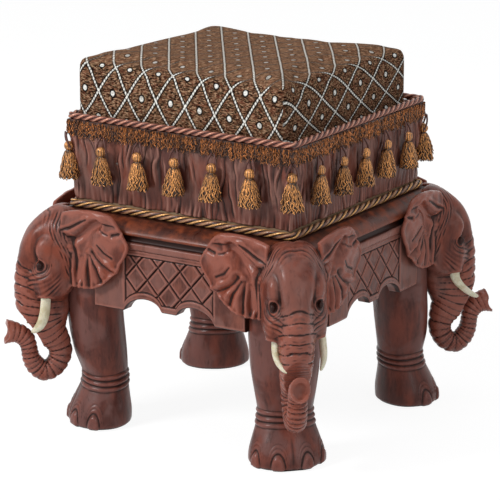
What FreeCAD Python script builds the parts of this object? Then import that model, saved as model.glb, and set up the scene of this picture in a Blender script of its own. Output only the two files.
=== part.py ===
import FreeCAD, Part
import math
import os

import Sketcher
from FreeCAD import Placement, Rotation, Vector

# Footstool on four elephant legs, millimetres, +Z up, origin on the floor under the middle.
# The front is the -Y side. An elephant's own frame has X outward along its diagonal,
# Y across it and Z up, so its pieces are drawn once and turned to the four corners.

SIZES = {
    # Drop-in seat
    "seat_half": 145.5,
    "seat_clearance": 4.0,
    "seat_corner": 11.0,
    "seat_edge_round": 8.0,
    "seat_draw_in": 3.0,
    "draw_in_height": 60.0,
    "crown_rise": 4.5,
    "cover_thickness": 1.5,
    "cushion_height": 112.0,
    "seat_board_thickness": 12.0,
    # Box
    "well_depth": 55.4,
    "wall_foot": 5.0,
    "wall_flare": 4.5,
    "wall_height": 97.4,
    "deck_thickness": 10.2,
    "deck_set_back": 2.2,
    "post_width": 20.0,
    "batten_width": 14.0,
    "batten_height": 12.0,
    # Ropes, fringe and tassels
    "lower_rope_radius": 5.0,
    "upper_rope_radius": 4.0,
    "upper_rope_inset": 0.8,
    "rope_bend_extra": 0.5,
    "fringe_thickness": 2.5,
    "fringe_drop": 23.0,
    "tassel_reach": 73.0,
    "tassel_length": 46.0,
    "skirt_radius": 14.0,
    "skirt_top_radius": 7.0,
    "skirt_depth_share": 0.78,
    "skirt_height": 33.0,
    "knob_radius": 5.6,
    "hanger_width": 3.0,
    "hanger_height": 12.0,
    "corner_tassel_stand": 6.75,
    # Base
    "leg_inset": 12.8,
    "leg_height": 240.0,
    "leg_half_wide": 44.0,
    "leg_half_deep": 33.7,
    "apron_cover": 41.5,
    "apron_thickness": 16.0,
    "apron_end_gap": 29.5,
    "block_length": 37.0,
    "block_drop": 77.0,
    "scallop_drop": 72.0,
    "arch_rise": 17.0,
    "arch_step": 6.0,
    "drop_half_width": 11.0,
    "panel_border": 7.0,
    "panel_depth": 2.0,
    "band_height": 9.0,
    "band_proud": 3.0,
    "groove_height": 8.0,
    "groove_depth": 6.0,
    "frieze_height": 17.4,
    "frieze_foot_proud": 2.0,
    "ring_inset": 21.5,
    "dust_cover_margin": 13.0,
    "dust_cover_thickness": 2.0,
    # Elephants
    "head_standoff": 34.0,
    "head_hang": 72.0,
    "head_height": 121.0,
    "head_depth": 64.0,
    "head_half_wide": 40.0,
    "trunk_drop": 112.5,
    "trunk_reach": 84.0,
    "trunk_half_wide": 20.0,
    "tusk_radius": 5.8,
    "tusk_drop": 31.0,
    "tusk_reach": 27.5,
    "tusk_root_out": 30.5,
    "tusk_spread": 27.0,
    "tusk_close": 3.5,
    "ear_length": 88.0,
    "ear_height": 98.0,
    "ear_lift": 16.0,
    "ear_thickness": 5.0,
    "ear_gap": 2.0,
    # Fixings and feet
    "touch_gap": 0.3,
    "fit_gap": 0.1,
    "dowel_radius": 4.0,
    "dowel_length": 28.0,
    "dowel_pitch": 34.0,
    "head_dowel_pitch": 24.0,
    "dowel_below_top": 20.0,
    "tenon_radius": 7.0,
    "tenon_length": 14.0,
    "tang_radius": 2.5,
    "tang_length": 9.0,
    "deck_screw_radius": 2.5,
    "deck_screw_length": 72.0,
    "screw_head_radius": 5.0,
    "screw_head_height": 3.0,
    "deck_screw_inset": 15.5,
    "batten_screw_radius": 1.75,
    "batten_screw_length": 19.0,
    "batten_screw_pitch": 90.0,
    "glide_radius": 16.0,
    "glide_thickness": 4.0,
    "glide_proud": 1.0,
    "overrun": 5.0,
}

# Values worked out from the sizes above, each as a formula of the document.
FORMULAS = {
    "seat_foot_half": "Sizes.seat_half - Sizes.seat_draw_in",
    "well_half": "Derived.seat_foot_half + Sizes.seat_clearance",
    "wall_low_half": "Derived.well_half + Sizes.wall_foot",
    "wall_top_half": "Derived.wall_low_half + Sizes.wall_flare",
    "deck_half": "Derived.wall_low_half - Sizes.deck_set_back",
    "lower_rope_half": "Derived.deck_half + Sizes.touch_gap + Sizes.lower_rope_radius",
    "upper_rope_half": "Derived.wall_top_half - Sizes.upper_rope_inset",
    "frieze_top_half": "Derived.lower_rope_half + Sizes.lower_rope_radius",
    "leg_reach": "Derived.deck_half - Sizes.leg_inset",
    "ring_opening": "Derived.leg_reach - Sizes.ring_inset",
    "head_bottom": "Sizes.leg_height - Sizes.head_hang",
    "corner_tassel_reach": "Derived.wall_low_half * sqrt(2) + Sizes.corner_tassel_stand",
    "base_half": "Derived.leg_reach + Sizes.apron_cover",
    "band_half": "Derived.base_half + Sizes.band_proud",
    "groove_half": "Derived.band_half - Sizes.groove_depth",
    "frieze_foot_half": "Derived.base_half + Sizes.frieze_foot_proud",
    "apron_end": "Derived.leg_reach - Sizes.apron_end_gap",
    "apron_inner_half": "Derived.base_half - Sizes.apron_thickness",
    "block_inner": "Derived.apron_end - Sizes.block_length",
    "arch_outer": "Derived.block_inner - Sizes.arch_step",
    "arch_middle": "0.5 * (Derived.arch_outer + Sizes.drop_half_width)",
    "block_bottom": "Sizes.leg_height - Sizes.block_drop",
    "scallop_bottom": "Sizes.leg_height - Sizes.scallop_drop",
    "arch_top": "Derived.block_bottom + Sizes.arch_rise",
    "band_top": "Sizes.leg_height + Sizes.band_height",
    "groove_top": "Derived.band_top + Sizes.groove_height",
    "deck_bottom": "Derived.groove_top + Sizes.frieze_height",
    "deck_top": "Derived.deck_bottom + Sizes.deck_thickness",
    "wall_top": "Derived.deck_top + Sizes.wall_height",
    "seat_bottom": "Derived.deck_top + Sizes.well_depth",
    "batten_bottom": "Derived.seat_bottom - Sizes.batten_height",
    "post_inner": "Derived.well_half - Sizes.post_width",
    "leg_radial": "Derived.leg_reach * sqrt(2)",
    "head_back": "Derived.leg_radial + Sizes.head_standoff",
    "panel_half": "Derived.block_inner - Sizes.panel_border",
    "panel_top": "Sizes.leg_height - Sizes.panel_border",
    "panel_low": "Derived.arch_top + Sizes.panel_border",
    "apron_dowel_line": "Derived.apron_inner_half + Sizes.dowel_radius",
    "apron_dowel_high": "Sizes.leg_height - Sizes.dowel_below_top",
    "apron_dowel_low": "Derived.apron_dowel_high - Sizes.dowel_pitch",
    "apron_dowel_hole": "Sizes.dowel_radius",
    "apron_dowel_depth": "0.5 * Sizes.dowel_length + Sizes.fit_gap",
    "tassel_pitch": "Derived.corner_tassel_reach * sqrt(0.5) / 3",
    "dust_cover_half": "Derived.ring_opening + Sizes.dust_cover_margin",
    "dust_cover_bottom": "Sizes.leg_height - Sizes.dust_cover_thickness",
    "dust_corner": "Derived.leg_radial - Sizes.leg_half_deep - Sizes.touch_gap",
    "ear_face": "Derived.band_half + Sizes.ear_gap",
    "screw_place": "Derived.leg_reach - Sizes.deck_screw_inset",
}

# How many points a smooth oval is drawn through, and how many steps a smooth loft has.
OVAL_POINT_COUNT = 12
LEG_SECTION_COUNT = 24
TRUNK_SECTION_COUNT = 30

CORNERS = {"front_right": -45.0, "front_left": -135.0, "back_left": 135.0, "back_right": 45.0}
SIDES = {"front": 0.0, "right": 90.0, "back": 180.0, "left": 270.0}

doc = FreeCAD.newDocument("Footstool")
parts = []


def fill_sheet():
    sheet = doc.addObject("Spreadsheet::Sheet", "Sizes")
    for row, (alias, value) in enumerate(SIZES.items(), start=1):
        sheet.set(f"A{row}", alias)
        sheet.set(f"B{row}", str(value))
        sheet.setAlias(f"B{row}", alias)
    derived = doc.addObject("App::FeaturePython", "Derived")
    for name, formula in FORMULAS.items():
        derived.addProperty("App::PropertyFloat", name)
        derived.setExpression(name, formula)
    doc.recompute()


def value(name):
    """A size from the sheet, or a value worked out from it."""
    if name in SIZES:
        return float(getattr(doc.Sizes, name))
    return float(getattr(doc.Derived, name))


def cell(name):
    """The name's reference for a bound expression."""
    return f"Sizes.{name}" if name in SIZES else f"Derived.{name}"


def keep(feature, label):
    """Lists a finished sub-part under the label that names its file."""
    feature.Label = label
    parts.append(feature)
    return feature


def solid_part(label, shape, turn=0.0):
    feature = doc.addObject("Part::Feature", "Solid_" + label)
    feature.Shape = shape
    feature.Placement = Placement(Vector(), Rotation(Vector(0, 0, 1), turn))
    return keep(feature, label)


def bound_box(name, half_x, half_y, bottom, height):
    """A box centred on the axis, its sides bound to the sheet."""
    box = doc.addObject("Part::Box", name)
    box.setExpression("Length", f"2 * {half_x}")
    box.setExpression("Width", f"2 * {half_y}")
    box.setExpression("Height", height)
    box.setExpression("Placement.Base.x", f"-{half_x}")
    box.setExpression("Placement.Base.y", f"-{half_y}")
    box.setExpression("Placement.Base.z", bottom)
    return box


def cut_away(base, tool, name):
    cut = doc.addObject("Part::Cut", name)
    cut.Base = base
    cut.Tool = tool
    return cut


def shape_object(name, shape):
    feature = doc.addObject("Part::Feature", name)
    feature.Shape = shape
    return feature


def turned(shape, angle):
    copy = shape.copy()
    copy.rotate(Vector(), Vector(0, 0, 1), angle)
    return copy


def corner_copies(shape):
    return [turned(shape, angle) for angle in CORNERS.values()]


def side_copies(shape):
    return [turned(shape, angle) for angle in SIDES.values()]


def square_wire(half, z):
    corners = [(-half, -half), (half, -half), (half, half), (-half, half), (-half, -half)]
    return Part.makePolygon([Vector(x, y, z) for x, y in corners])


def frustum(low_half, low_z, high_half, high_z):
    """A square block whose half width changes steadily with height."""
    return Part.makeLoft([square_wire(low_half, low_z), square_wire(high_half, high_z)], True, True)


def rounded_square(half, corner, z):
    inner = half - corner
    slant = corner * math.sqrt(0.5)
    edges = []
    for quarter in range(4):
        turn = Rotation(Vector(0, 0, 1), 90.0 * quarter)
        side = [Vector(-inner, -half, z), Vector(inner, -half, z)]
        bend = [Vector(inner, -half, z), Vector(inner + slant, -inner - slant, z), Vector(half, -inner, z)]
        edges.append(Part.LineSegment(*[turn.multVec(p) for p in side]).toShape())
        edges.append(Part.Arc(*[turn.multVec(p) for p in bend]).toShape())
    return Part.Wire(edges)


# Fixings


def apron_dowel_solids(gap):
    """The front apron's dowels, or with a gap their holes."""
    radius = value("dowel_radius") + gap - value("fit_gap")
    length = value("dowel_length") + 2 * gap
    solids = []
    for high in ("apron_dowel_high", "apron_dowel_low"):
        for side in (-1, 1):
            start = Vector(side * value("apron_end") - length / 2, -value("apron_dowel_line"), value(high))
            solids.append(Part.makeCylinder(radius, length, start, Vector(1, 0, 0)))
    return solids


def head_dowel_solids(gap):
    """The pegs between one head and the mouldings, in the elephant's frame, or their holes."""
    radius = value("dowel_radius") + gap - value("fit_gap")
    length = value("dowel_length") + 2 * gap
    high = value("band_top") + value("fit_gap")
    start = value("head_back") - length / 2
    pitch = value("head_dowel_pitch")
    places = [Vector(start, side * pitch / 2, high) for side in (-1, 1)]
    return [Part.makeCylinder(radius, length, place, Vector(1, 0, 0)) for place in places]


def deck_screw(gap):
    """One deck screw at the front right corner, or its hole."""
    place = Vector(value("screw_place"), -value("screw_place"), value("deck_top"))
    radius = value("deck_screw_radius") + gap
    down = Vector(0, 0, -1)
    shank = Part.makeCylinder(radius, value("deck_screw_length") + gap, place, down)
    head = Part.makeCone(value("screw_head_radius") + gap, radius, value("screw_head_height"), place, down)
    return shank.fuse(head).removeSplitter()


def deck_screw_solids(gap):
    return side_copies(deck_screw(gap))


def batten_screw_solids(gap):
    """Three screws from the front batten into the front wall, or their holes."""
    radius = value("batten_screw_radius")
    length = value("batten_screw_length")
    inner = -value("well_half") + value("batten_width")
    high = value("seat_bottom") - value("batten_height") / 2
    pitch = value("batten_screw_pitch")
    axis = Vector(0, -1, 0)
    return [
        Part.makeCylinder(radius + gap, length + gap, Vector(step * pitch, inner, high), axis)
        for step in (-1, 0, 1)
    ]


def glide_solid(gap):
    """The pad under a foot, in the elephant's frame, or its recess."""
    radius = value("glide_radius") + gap
    start = Vector(foot_center(), 0, 0)
    return Part.makeCylinder(radius, value("glide_thickness"), start)


# Legs

# Height as a share of the leg, centre shift and half depth as shares of leg_half_deep,
# half width as a share of leg_half_wide.
LEG_SECTION_SHARES = [
    (0.000, 0.13, 1.15, 1.01),
    (0.045, 0.13, 1.19, 1.04),
    (0.120, 0.06, 1.05, 0.93),
    (0.200, -0.07, 0.86, 0.78),
    (0.255, -0.13, 0.79, 0.74),
    (0.370, -0.03, 0.95, 0.84),
    (0.500, 0.00, 1.00, 0.94),
    (0.660, 0.00, 1.00, 1.00),
    (1.000, 0.00, 1.00, 1.00),
]


def foot_center():
    return value("leg_radial") + LEG_SECTION_SHARES[0][1] * value("leg_half_deep")


def oval(center, first, second):
    """A closed smooth curve round a centre, with its two half axes as vectors."""
    points = []
    for index in range(OVAL_POINT_COUNT):
        angle = 2 * math.pi * index / OVAL_POINT_COUNT
        points.append(center + first * math.cos(angle) + second * math.sin(angle))
    curve = Part.BSplineCurve()
    curve.interpolate(points, PeriodicFlag=True)
    return Part.Wire(curve.toShape())


def eased_rows(places, rows, count):
    """Rows evenly spread along their places, eased so that no column overshoots its table."""
    slopes = []
    for column in zip(*rows):
        rates = [(b - a) / (q - p) for a, b, p, q in zip(column, column[1:], places, places[1:])]
        inner = [2 * a * b / (a + b) if a * b > 0 else 0.0 for a, b in zip(rates, rates[1:])]
        slopes.append([rates[0]] + inner + [rates[-1]])
    spread = []
    for step in range(count + 1):
        place = places[0] + (places[-1] - places[0]) * step / count
        index = max(i for i in range(len(places) - 1) if places[i] <= place or i == 0)
        length = places[index + 1] - places[index]
        part = (place - places[index]) / length
        row = []
        for column, slope in zip(zip(*rows), slopes):
            start = column[index] * (1 + 2 * part) + slope[index] * length * part
            end = column[index + 1] * (3 - 2 * part) - slope[index + 1] * length * (1 - part)
            row.append(start * (1 - part) ** 2 + end * part**2)
        spread.append([place] + row)
    return spread


def leg_column():
    deep = value("leg_half_deep")
    wide = value("leg_half_wide")
    low = value("glide_proud")
    rise = value("leg_height") - low
    places = [row[0] for row in LEG_SECTION_SHARES]
    rows = [row[1:] for row in LEG_SECTION_SHARES]
    wires = []
    for height, shift, half_deep, half_wide in eased_rows(places, rows, LEG_SECTION_COUNT):
        center = Vector(value("leg_radial") + shift * deep, 0, low + height * rise)
        wires.append(oval(center, Vector(half_deep * deep, 0, 0), Vector(0, half_wide * wide, 0)))
    return Part.makeLoft(wires, True, False)


def apron_seats():
    """The room that two apron ends take from the front right leg, in the stool's frame."""
    over = value("overrun")
    end = value("apron_end")
    inner = value("apron_inner_half")
    depth = value("apron_thickness") + over
    height = value("block_drop") + over
    low = value("block_bottom")
    length = value("block_length")
    front = Part.makeBox(length, depth, height, Vector(end - length, -inner - depth, low))
    side = Part.makeBox(depth, length, height, Vector(inner, -end, low))
    return front, side


def make_legs():
    column = turned(leg_column(), CORNERS["front_right"])
    tools = list(apron_seats())
    tools += apron_dowel_solids(value("fit_gap"))
    tools += [turned(s, SIDES["right"]) for s in apron_dowel_solids(value("fit_gap"))]
    tools.append(deck_screw(value("fit_gap")))
    tools.append(turned(glide_solid(value("fit_gap")), CORNERS["front_right"]))
    leg = column.cut(tools)
    for corner, angle in CORNERS.items():
        solid_part("leg_" + corner, leg, angle - CORNERS["front_right"])


# Heads, trunks, tusks and ears, in the elephant's frame

# Height, back half width, middle half width, front half width, depth
HEAD_SECTION_SHARES = [
    (0.00, 0.80, 0.85, 0.38, 1.00),
    (0.15, 0.88, 0.90, 0.42, 1.00),
    (0.36, 0.96, 0.93, 0.50, 0.95),
    (0.52, 1.00, 0.95, 0.55, 0.87),
    (0.68, 1.00, 0.94, 0.52, 0.72),
    (0.80, 0.92, 0.84, 0.45, 0.54),
    (0.90, 0.74, 0.64, 0.33, 0.33),
    (1.00, 0.34, 0.28, 0.14, 0.07),
]

# Where along the depth a section's middle width lies.
HEAD_MIDDLE_SHARE = 0.47


def head_section(height, back, middle, front, depth):
    x0 = value("head_back")
    z = value("head_bottom") + height * value("head_height")
    wide = value("head_half_wide")
    out = x0 + depth * value("head_depth")
    mid = x0 + HEAD_MIDDLE_SHARE * depth * value("head_depth")
    low_back = Vector(x0, -back * wide, z)
    low_front = Vector(out, -front * wide, z)
    high_front = Vector(out, front * wide, z)
    high_back = Vector(x0, back * wide, z)
    edges = [
        Part.Arc(low_back, Vector(mid, -middle * wide, z), low_front).toShape(),
        Part.LineSegment(low_front, high_front).toShape(),
        Part.Arc(high_front, Vector(mid, middle * wide, z), high_back).toShape(),
        Part.LineSegment(high_back, low_back).toShape(),
    ]
    return Part.Wire(edges)


def tenon_solid(gap):
    """The trunk's tenon, or its mortise in the head."""
    center = value("head_back") + TRUNK_PATH_SHARES[0][0] * value("trunk_reach")
    start = Vector(center, 0, value("head_bottom"))
    return Part.makeCylinder(value("tenon_radius") + gap, value("tenon_length") + gap, start)


def tang_solids(gap):
    """The two tusks' tangs, or their holes in the head."""
    center = value("head_back") + value("tusk_root_out")
    low = value("head_bottom")
    return [
        Part.makeCylinder(
            value("tang_radius") + gap,
            value("tang_length") + gap,
            Vector(center, side * value("tusk_spread"), low),
        )
        for side in (-1, 1)
    ]


def make_heads():
    head = Part.makeLoft([head_section(*row) for row in HEAD_SECTION_SHARES], True, False)
    gap = value("fit_gap")
    head = head.cut([tenon_solid(gap)] + tang_solids(gap) + head_dowel_solids(gap))
    for corner, angle in CORNERS.items():
        solid_part("head_" + corner, head, angle)


# Centre along the reach, centre up from the bottom, half thickness and half width,
# all as shares of trunk_reach, trunk_drop, trunk_half_wide and trunk_half_wide.
TRUNK_PATH_SHARES = [
    (0.411, 1.000, 1.50, 1.00),
    (0.405, 0.840, 1.47, 0.95),
    (0.369, 0.680, 1.32, 0.88),
    (0.283, 0.520, 1.03, 0.80),
    (0.190, 0.378, 0.76, 0.73),
    (0.178, 0.271, 0.69, 0.69),
    (0.238, 0.169, 0.64, 0.66),
    (0.417, 0.111, 0.62, 0.62),
    (0.580, 0.164, 0.52, 0.55),
    (0.640, 0.280, 0.44, 0.49),
    (0.650, 0.387, 0.42, 0.46),
    (0.705, 0.493, 0.44, 0.48),
    (0.822, 0.560, 0.60, 0.52),
    (0.964, 0.591, 0.79, 0.58),
]


def trunk_body():
    """Ovals square to a smooth path that falls, curls out and rises to the mouth."""
    x0 = value("head_back")
    top = value("head_bottom")
    reach = value("trunk_reach")
    drop = value("trunk_drop")
    unit = value("trunk_half_wide")
    rows = [(out * reach, (up - 1) * drop, thick, wide) for out, up, thick, wide in TRUNK_PATH_SHARES]
    places = [0.0]
    for before, after in zip(rows, rows[1:]):
        places.append(places[-1] + math.hypot(after[0] - before[0], after[1] - before[1]))
    spread = eased_rows(places, rows, TRUNK_SECTION_COUNT)
    points = [Vector(x0 + out, 0, top + up) for place, out, up, thick, wide in spread]
    across = Vector(0, 1, 0)
    wires = []
    for index, (place, out, up, thick, wide) in enumerate(spread):
        before = points[max(index - 1, 0)]
        after = points[min(index + 1, len(points) - 1)]
        along = Vector(0, 0, -1) if index == 0 else (after - before).normalize()
        wires.append(oval(points[index], along.cross(across) * thick * unit, across * wide * unit))
    return Part.makeLoft(wires, True, False)


def make_trunks():
    trunk = trunk_body().fuse(tenon_solid(0)).removeSplitter()
    for corner, angle in CORNERS.items():
        solid_part("trunk_" + corner, trunk, angle)


# Place along the tusk, place along its reach, radius as a share of tusk_radius.
TUSK_SECTION_SHARES = [(0.0, 0.0, 1.0), (0.36, 0.26, 0.92), (0.72, 0.62, 0.70), (1.0, 1.0, 0.26)]


def tusk_solid(side):
    spread = side * value("tusk_spread")
    root = Vector(value("head_back") + value("tusk_root_out"), spread, value("head_bottom"))
    travel = Vector(value("tusk_reach"), -side * value("tusk_close"), -value("tusk_drop"))
    centers = [
        root + Vector(travel.x * out, travel.y * down, travel.z * down)
        for down, out, radius in TUSK_SECTION_SHARES
    ]
    wires = []
    for index, center in enumerate(centers):
        before = centers[max(index - 1, 0)]
        after = centers[min(index + 1, len(centers) - 1)]
        along = Vector(0, 0, -1) if index == 0 else (after - before).normalize()
        radius = TUSK_SECTION_SHARES[index][2] * value("tusk_radius")
        wires.append(Part.Wire(Part.Circle(center, along, radius).toShape()))
    horn = Part.makeLoft(wires, True, False)
    tang = tang_solids(0)[0 if side < 0 else 1]
    return horn.fuse(tang).removeSplitter()


def make_tusks():
    for corner, angle in CORNERS.items():
        solid_part(f"tusk_{corner}_left", tusk_solid(1), angle)
        solid_part(f"tusk_{corner}_right", tusk_solid(-1), angle)


# The ear's outline as arcs, each by its middle and end, in shares of ear_length and ear_height.
EAR_ARC_SHARES = [
    ((0.36, 0.995), (0.70, 0.955)),
    ((0.93, 0.810), (0.99, 0.610)),
    ((0.95, 0.460), (0.80, 0.330)),
    ((0.67, 0.190), (0.59, 0.090)),
    ((0.34, 0.005), (0.00, 0.020)),
]
EAR_ROOT_TOP_SHARE = 0.94


def ear_solid(side):
    """A flat ear that runs back along the apron from the head's own back edge."""
    slope = math.sqrt(0.5)
    back = value("head_back")
    root_y = value("ear_face") * math.sqrt(2) - back
    low = value("head_bottom") + value("ear_lift")

    def point(out_share, up_share):
        run = out_share * value("ear_length") * slope
        return Vector(back - run, side * (root_y + run), low + up_share * value("ear_height"))

    start = point(0, EAR_ROOT_TOP_SHARE)
    first = start
    edges = []
    for middle, end in EAR_ARC_SHARES:
        edges.append(Part.Arc(start, point(*middle), point(*end)).toShape())
        start = point(*end)
    edges.append(Part.LineSegment(start, first).toShape())
    face = Part.Face(Part.Wire(edges))
    return face.extrude(Vector(0, side * value("ear_thickness") * math.sqrt(2), 0))


def make_ears():
    for corner, angle in CORNERS.items():
        solid_part(f"ear_{corner}_left", ear_solid(1), angle)
        solid_part(f"ear_{corner}_right", ear_solid(-1), angle)


# Aprons


def body_plane(body, role):
    return next(f for f in body.Origin.OriginFeatures if f.Role == role)


def pin(sketch, edge, end, x_name, z_name, x_sign):
    """Binds a point of the sketch to the sheet."""
    for kind, name, sign in (("DistanceX", x_name, x_sign), ("DistanceY", z_name, 1)):
        index = sketch.addConstraint(Sketcher.Constraint(kind, -1, 1, edge, end, sign * value(name)))
        sketch.setExpression(f"Constraints[{index}]", cell(name) if sign > 0 else f"-{cell(name)}")


def plane_sketch(body, suffix, role, offset):
    sketch = body.newObject("Sketcher::SketchObject", body.Name + suffix)
    sketch.AttachmentSupport = [(body_plane(body, role), "")]
    sketch.MapMode = "FlatFace"
    sketch.setExpression("AttachmentOffset.Base.z", offset)
    return sketch


def draw_outline(sketch, corners, arches):
    """A closed outline through named corners; an arch also passes through its named top."""
    count = len(corners)
    points = [Vector(sign * value(x), value(z), 0) for x, z, sign in corners]
    for index, start in enumerate(points):
        end = points[(index + 1) % count]
        if index in arches:
            x_name, z_name, sign = arches[index]
            top = Vector(sign * value(x_name), value(z_name), 0)
            sketch.addGeometry(Part.Arc(start, top, end), False)
        else:
            sketch.addGeometry(Part.LineSegment(start, end), False)
    for index in range(count):
        after = (index + 1) % count
        # A sketch keeps its arcs anticlockwise, so an arch's first end is its last point.
        last = 1 if index in arches else 2
        first = 2 if after in arches else 1
        sketch.addConstraint(Sketcher.Constraint("Coincident", index, last, after, first))
    for index, (x_name, z_name, sign) in enumerate(corners):
        pin(sketch, index, 2 if index in arches else 1, x_name, z_name, sign)
    for index, (x_name, z_name, sign) in arches.items():
        spot = sketch.addGeometry(Part.Point(Vector(sign * value(x_name), value(z_name), 0)), True)
        pin(sketch, spot, 1, x_name, z_name, sign)
        sketch.addConstraint(Sketcher.Constraint("PointOnObject", spot, 1, index))


# The scalloped lower edge, from the top left round by the bottom.
APRON_CORNERS = [
    ("apron_end", "leg_height", -1),
    ("apron_end", "block_bottom", -1),
    ("block_inner", "block_bottom", -1),
    ("arch_outer", "block_bottom", -1),
    ("drop_half_width", "scallop_bottom", -1),
    ("drop_half_width", "scallop_bottom", 1),
    ("arch_outer", "block_bottom", 1),
    ("block_inner", "block_bottom", 1),
    ("apron_end", "block_bottom", 1),
    ("apron_end", "leg_height", 1),
]
APRON_ARCHES = {3: ("arch_middle", "arch_top", -1), 5: ("arch_middle", "arch_top", 1)}
PANEL_CORNERS = [
    ("panel_half", "panel_top", -1),
    ("panel_half", "panel_low", -1),
    ("panel_half", "panel_low", 1),
    ("panel_half", "panel_top", 1),
]


def dowel_pocket(body, suffix, offset, backward):
    """Two blind holes in one end of an apron."""
    sketch = plane_sketch(body, suffix + "Sketch", "YZ_Plane", offset)
    radius = value("apron_dowel_hole")
    for name in ("apron_dowel_high", "apron_dowel_low"):
        center = Vector(-value("apron_dowel_line"), value(name), 0)
        edge = sketch.addGeometry(Part.Circle(center, Vector(0, 0, 1), radius), False)
        pin(sketch, edge, 3, "apron_dowel_line", name, -1)
        index = sketch.addConstraint(Sketcher.Constraint("Radius", edge, radius))
        sketch.setExpression(f"Constraints[{index}]", cell("apron_dowel_hole"))
    pocket = body.newObject("PartDesign::Pocket", body.Name + suffix)
    pocket.Profile = sketch
    pocket.setExpression("Length", cell("apron_dowel_depth"))
    pocket.Reversed = backward


def apron_body(side):
    """A scalloped board with a shallow field for the carved lattice."""
    body = doc.addObject("PartDesign::Body", "Apron_" + side)
    outline = plane_sketch(body, "_Outline", "XZ_Plane", cell("apron_inner_half"))
    draw_outline(outline, APRON_CORNERS, APRON_ARCHES)
    pad = body.newObject("PartDesign::Pad", body.Name + "_Board")
    pad.Profile = outline
    pad.setExpression("Length", cell("apron_thickness"))
    field = plane_sketch(body, "_Field", "XZ_Plane", cell("base_half"))
    draw_outline(field, PANEL_CORNERS, {})
    pocket = body.newObject("PartDesign::Pocket", body.Name + "_Panel")
    pocket.Profile = field
    pocket.setExpression("Length", cell("panel_depth"))
    dowel_pocket(body, "_RightHoles", cell("apron_end"), False)
    dowel_pocket(body, "_LeftHoles", f"-{cell('apron_end')}", True)
    return body


def make_aprons():
    for side, angle in SIDES.items():
        body = apron_body(side)
        body.Placement = Placement(Vector(), Rotation(Vector(0, 0, 1), angle))
        keep(body, "apron_" + side)


# Mouldings, deck and box


def corner_trim(name, reach_cell, height_cell, bottom_cell):
    """A block turned by an eighth of a turn, which trims a square's four corners."""
    block = bound_box(name, reach_cell, reach_cell, bottom_cell, height_cell)
    block.setExpression("Placement.Base.x", "0")
    block.setExpression("Placement.Base.y", f"-{reach_cell} * sqrt(2)")
    block.Placement.Rotation = Rotation(Vector(0, 0, 1), 45.0)
    return block


def trimmed(base, name, reach_cell, height_cell, bottom_cell):
    common = doc.addObject("Part::Common", name)
    common.Base = base
    common.Tool = corner_trim(name + "_Trim", reach_cell, height_cell, bottom_cell)
    return common


def fixing_holes(name, with_head_dowels):
    gap = value("fit_gap")
    solids = deck_screw_solids(gap)
    if with_head_dowels:
        for dowel_hole in head_dowel_solids(gap):
            solids += corner_copies(dowel_hole)
    return shape_object(name, Part.makeCompound(solids))


def square_block(name, half_name, bottom_name, height):
    half = cell(half_name)
    return bound_box(name, half, half, cell(bottom_name), height)


def make_base_moulding():
    height = f"{cell('band_height')} + {cell('groove_height')}"
    stack = doc.addObject("Part::Fuse", "MouldingStack")
    stack.Base = square_block("Band", "band_half", "leg_height", cell("band_height"))
    stack.Tool = square_block("Groove", "groove_half", "band_top", cell("groove_height"))
    shaped = trimmed(stack, "MouldingShaped", cell("head_back"), height, cell("leg_height"))
    opening = square_block("MouldingOpening", "ring_opening", "leg_height", height)
    ring = cut_away(shaped, opening, "MouldingRing")
    keep(cut_away(ring, fixing_holes("MouldingHoles", True), "MouldingDrilled"), "base_moulding")


def make_frieze():
    height = cell("frieze_height")
    low = cell("groove_top")
    slope = frustum(
        value("frieze_foot_half"), value("groove_top"), value("frieze_top_half"), value("deck_bottom")
    )
    shaped = trimmed(shape_object("FriezeSlope", slope), "FriezeShaped", cell("head_back"), height, low)
    opening = square_block("FriezeOpening", "ring_opening", "groove_top", height)
    ring = cut_away(shaped, opening, "FriezeRing")
    keep(cut_away(ring, fixing_holes("FriezeHoles", False), "FriezeDrilled"), "frieze")


def make_deck():
    board = square_block("DeckBoard", "deck_half", "deck_bottom", cell("deck_thickness"))
    keep(cut_away(board, fixing_holes("DeckHoles", False), "DeckDrilled"), "deck_board")


def make_dust_cover():
    thickness = cell("dust_cover_thickness")
    low = cell("dust_cover_bottom")
    sheet = square_block("DustSheet", "dust_cover_half", "dust_cover_bottom", thickness)
    keep(trimmed(sheet, "DustTrimmed", cell("dust_corner"), thickness, low), "dust_cover")


def wall_quad(inner, outer, z):
    corners = [(-inner, -inner), (inner, -inner), (outer, -outer), (-outer, -outer), (-inner, -inner)]
    return Part.makePolygon([Vector(x, y, z) for x, y in corners])


def make_walls():
    inner = value("well_half")
    low = wall_quad(inner, value("wall_low_half"), value("deck_top"))
    high = wall_quad(inner, value("wall_top_half"), value("wall_top"))
    wall = Part.makeLoft([low, high], True, True).cut(batten_screw_solids(value("fit_gap")))
    for side, angle in SIDES.items():
        solid_part("wall_" + side, wall, angle)


def grouped(features, label):
    group = doc.addObject("Part::Compound", "Group_" + label)
    group.Links = features
    return keep(group, label)


def turned_box(name, sizes, corner, angle):
    """A box by its sizes and its lowest corner, all bound expressions, turned about the axis."""
    box = doc.addObject("Part::Box", name)
    for side, size in zip(("Length", "Width", "Height"), sizes):
        box.setExpression(side, size)
    if angle in (90.0, 270.0):
        sign = 1 if angle == 90.0 else -1
        along, across = (f"{-sign} * ({corner[1]})", f"{sign} * ({corner[0]})")
    else:
        sign = 1 if angle == 0.0 else -1
        along, across = (f"{sign} * ({corner[0]})", f"{sign} * ({corner[1]})")
    box.setExpression("Placement.Base.x", along)
    box.setExpression("Placement.Base.y", across)
    box.setExpression("Placement.Base.z", corner[2])
    box.Placement.Rotation = Rotation(Vector(0, 0, 1), angle)
    return box


def make_corner_posts():
    width = cell("post_width")
    corner = (cell("post_inner"), f"-{cell('well_half')}", cell("deck_top"))
    posts = []
    for side, angle in SIDES.items():
        posts.append(turned_box("Post_" + side, (width, width, cell("well_depth")), corner, angle))
    grouped(posts, "corner_posts")


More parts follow.
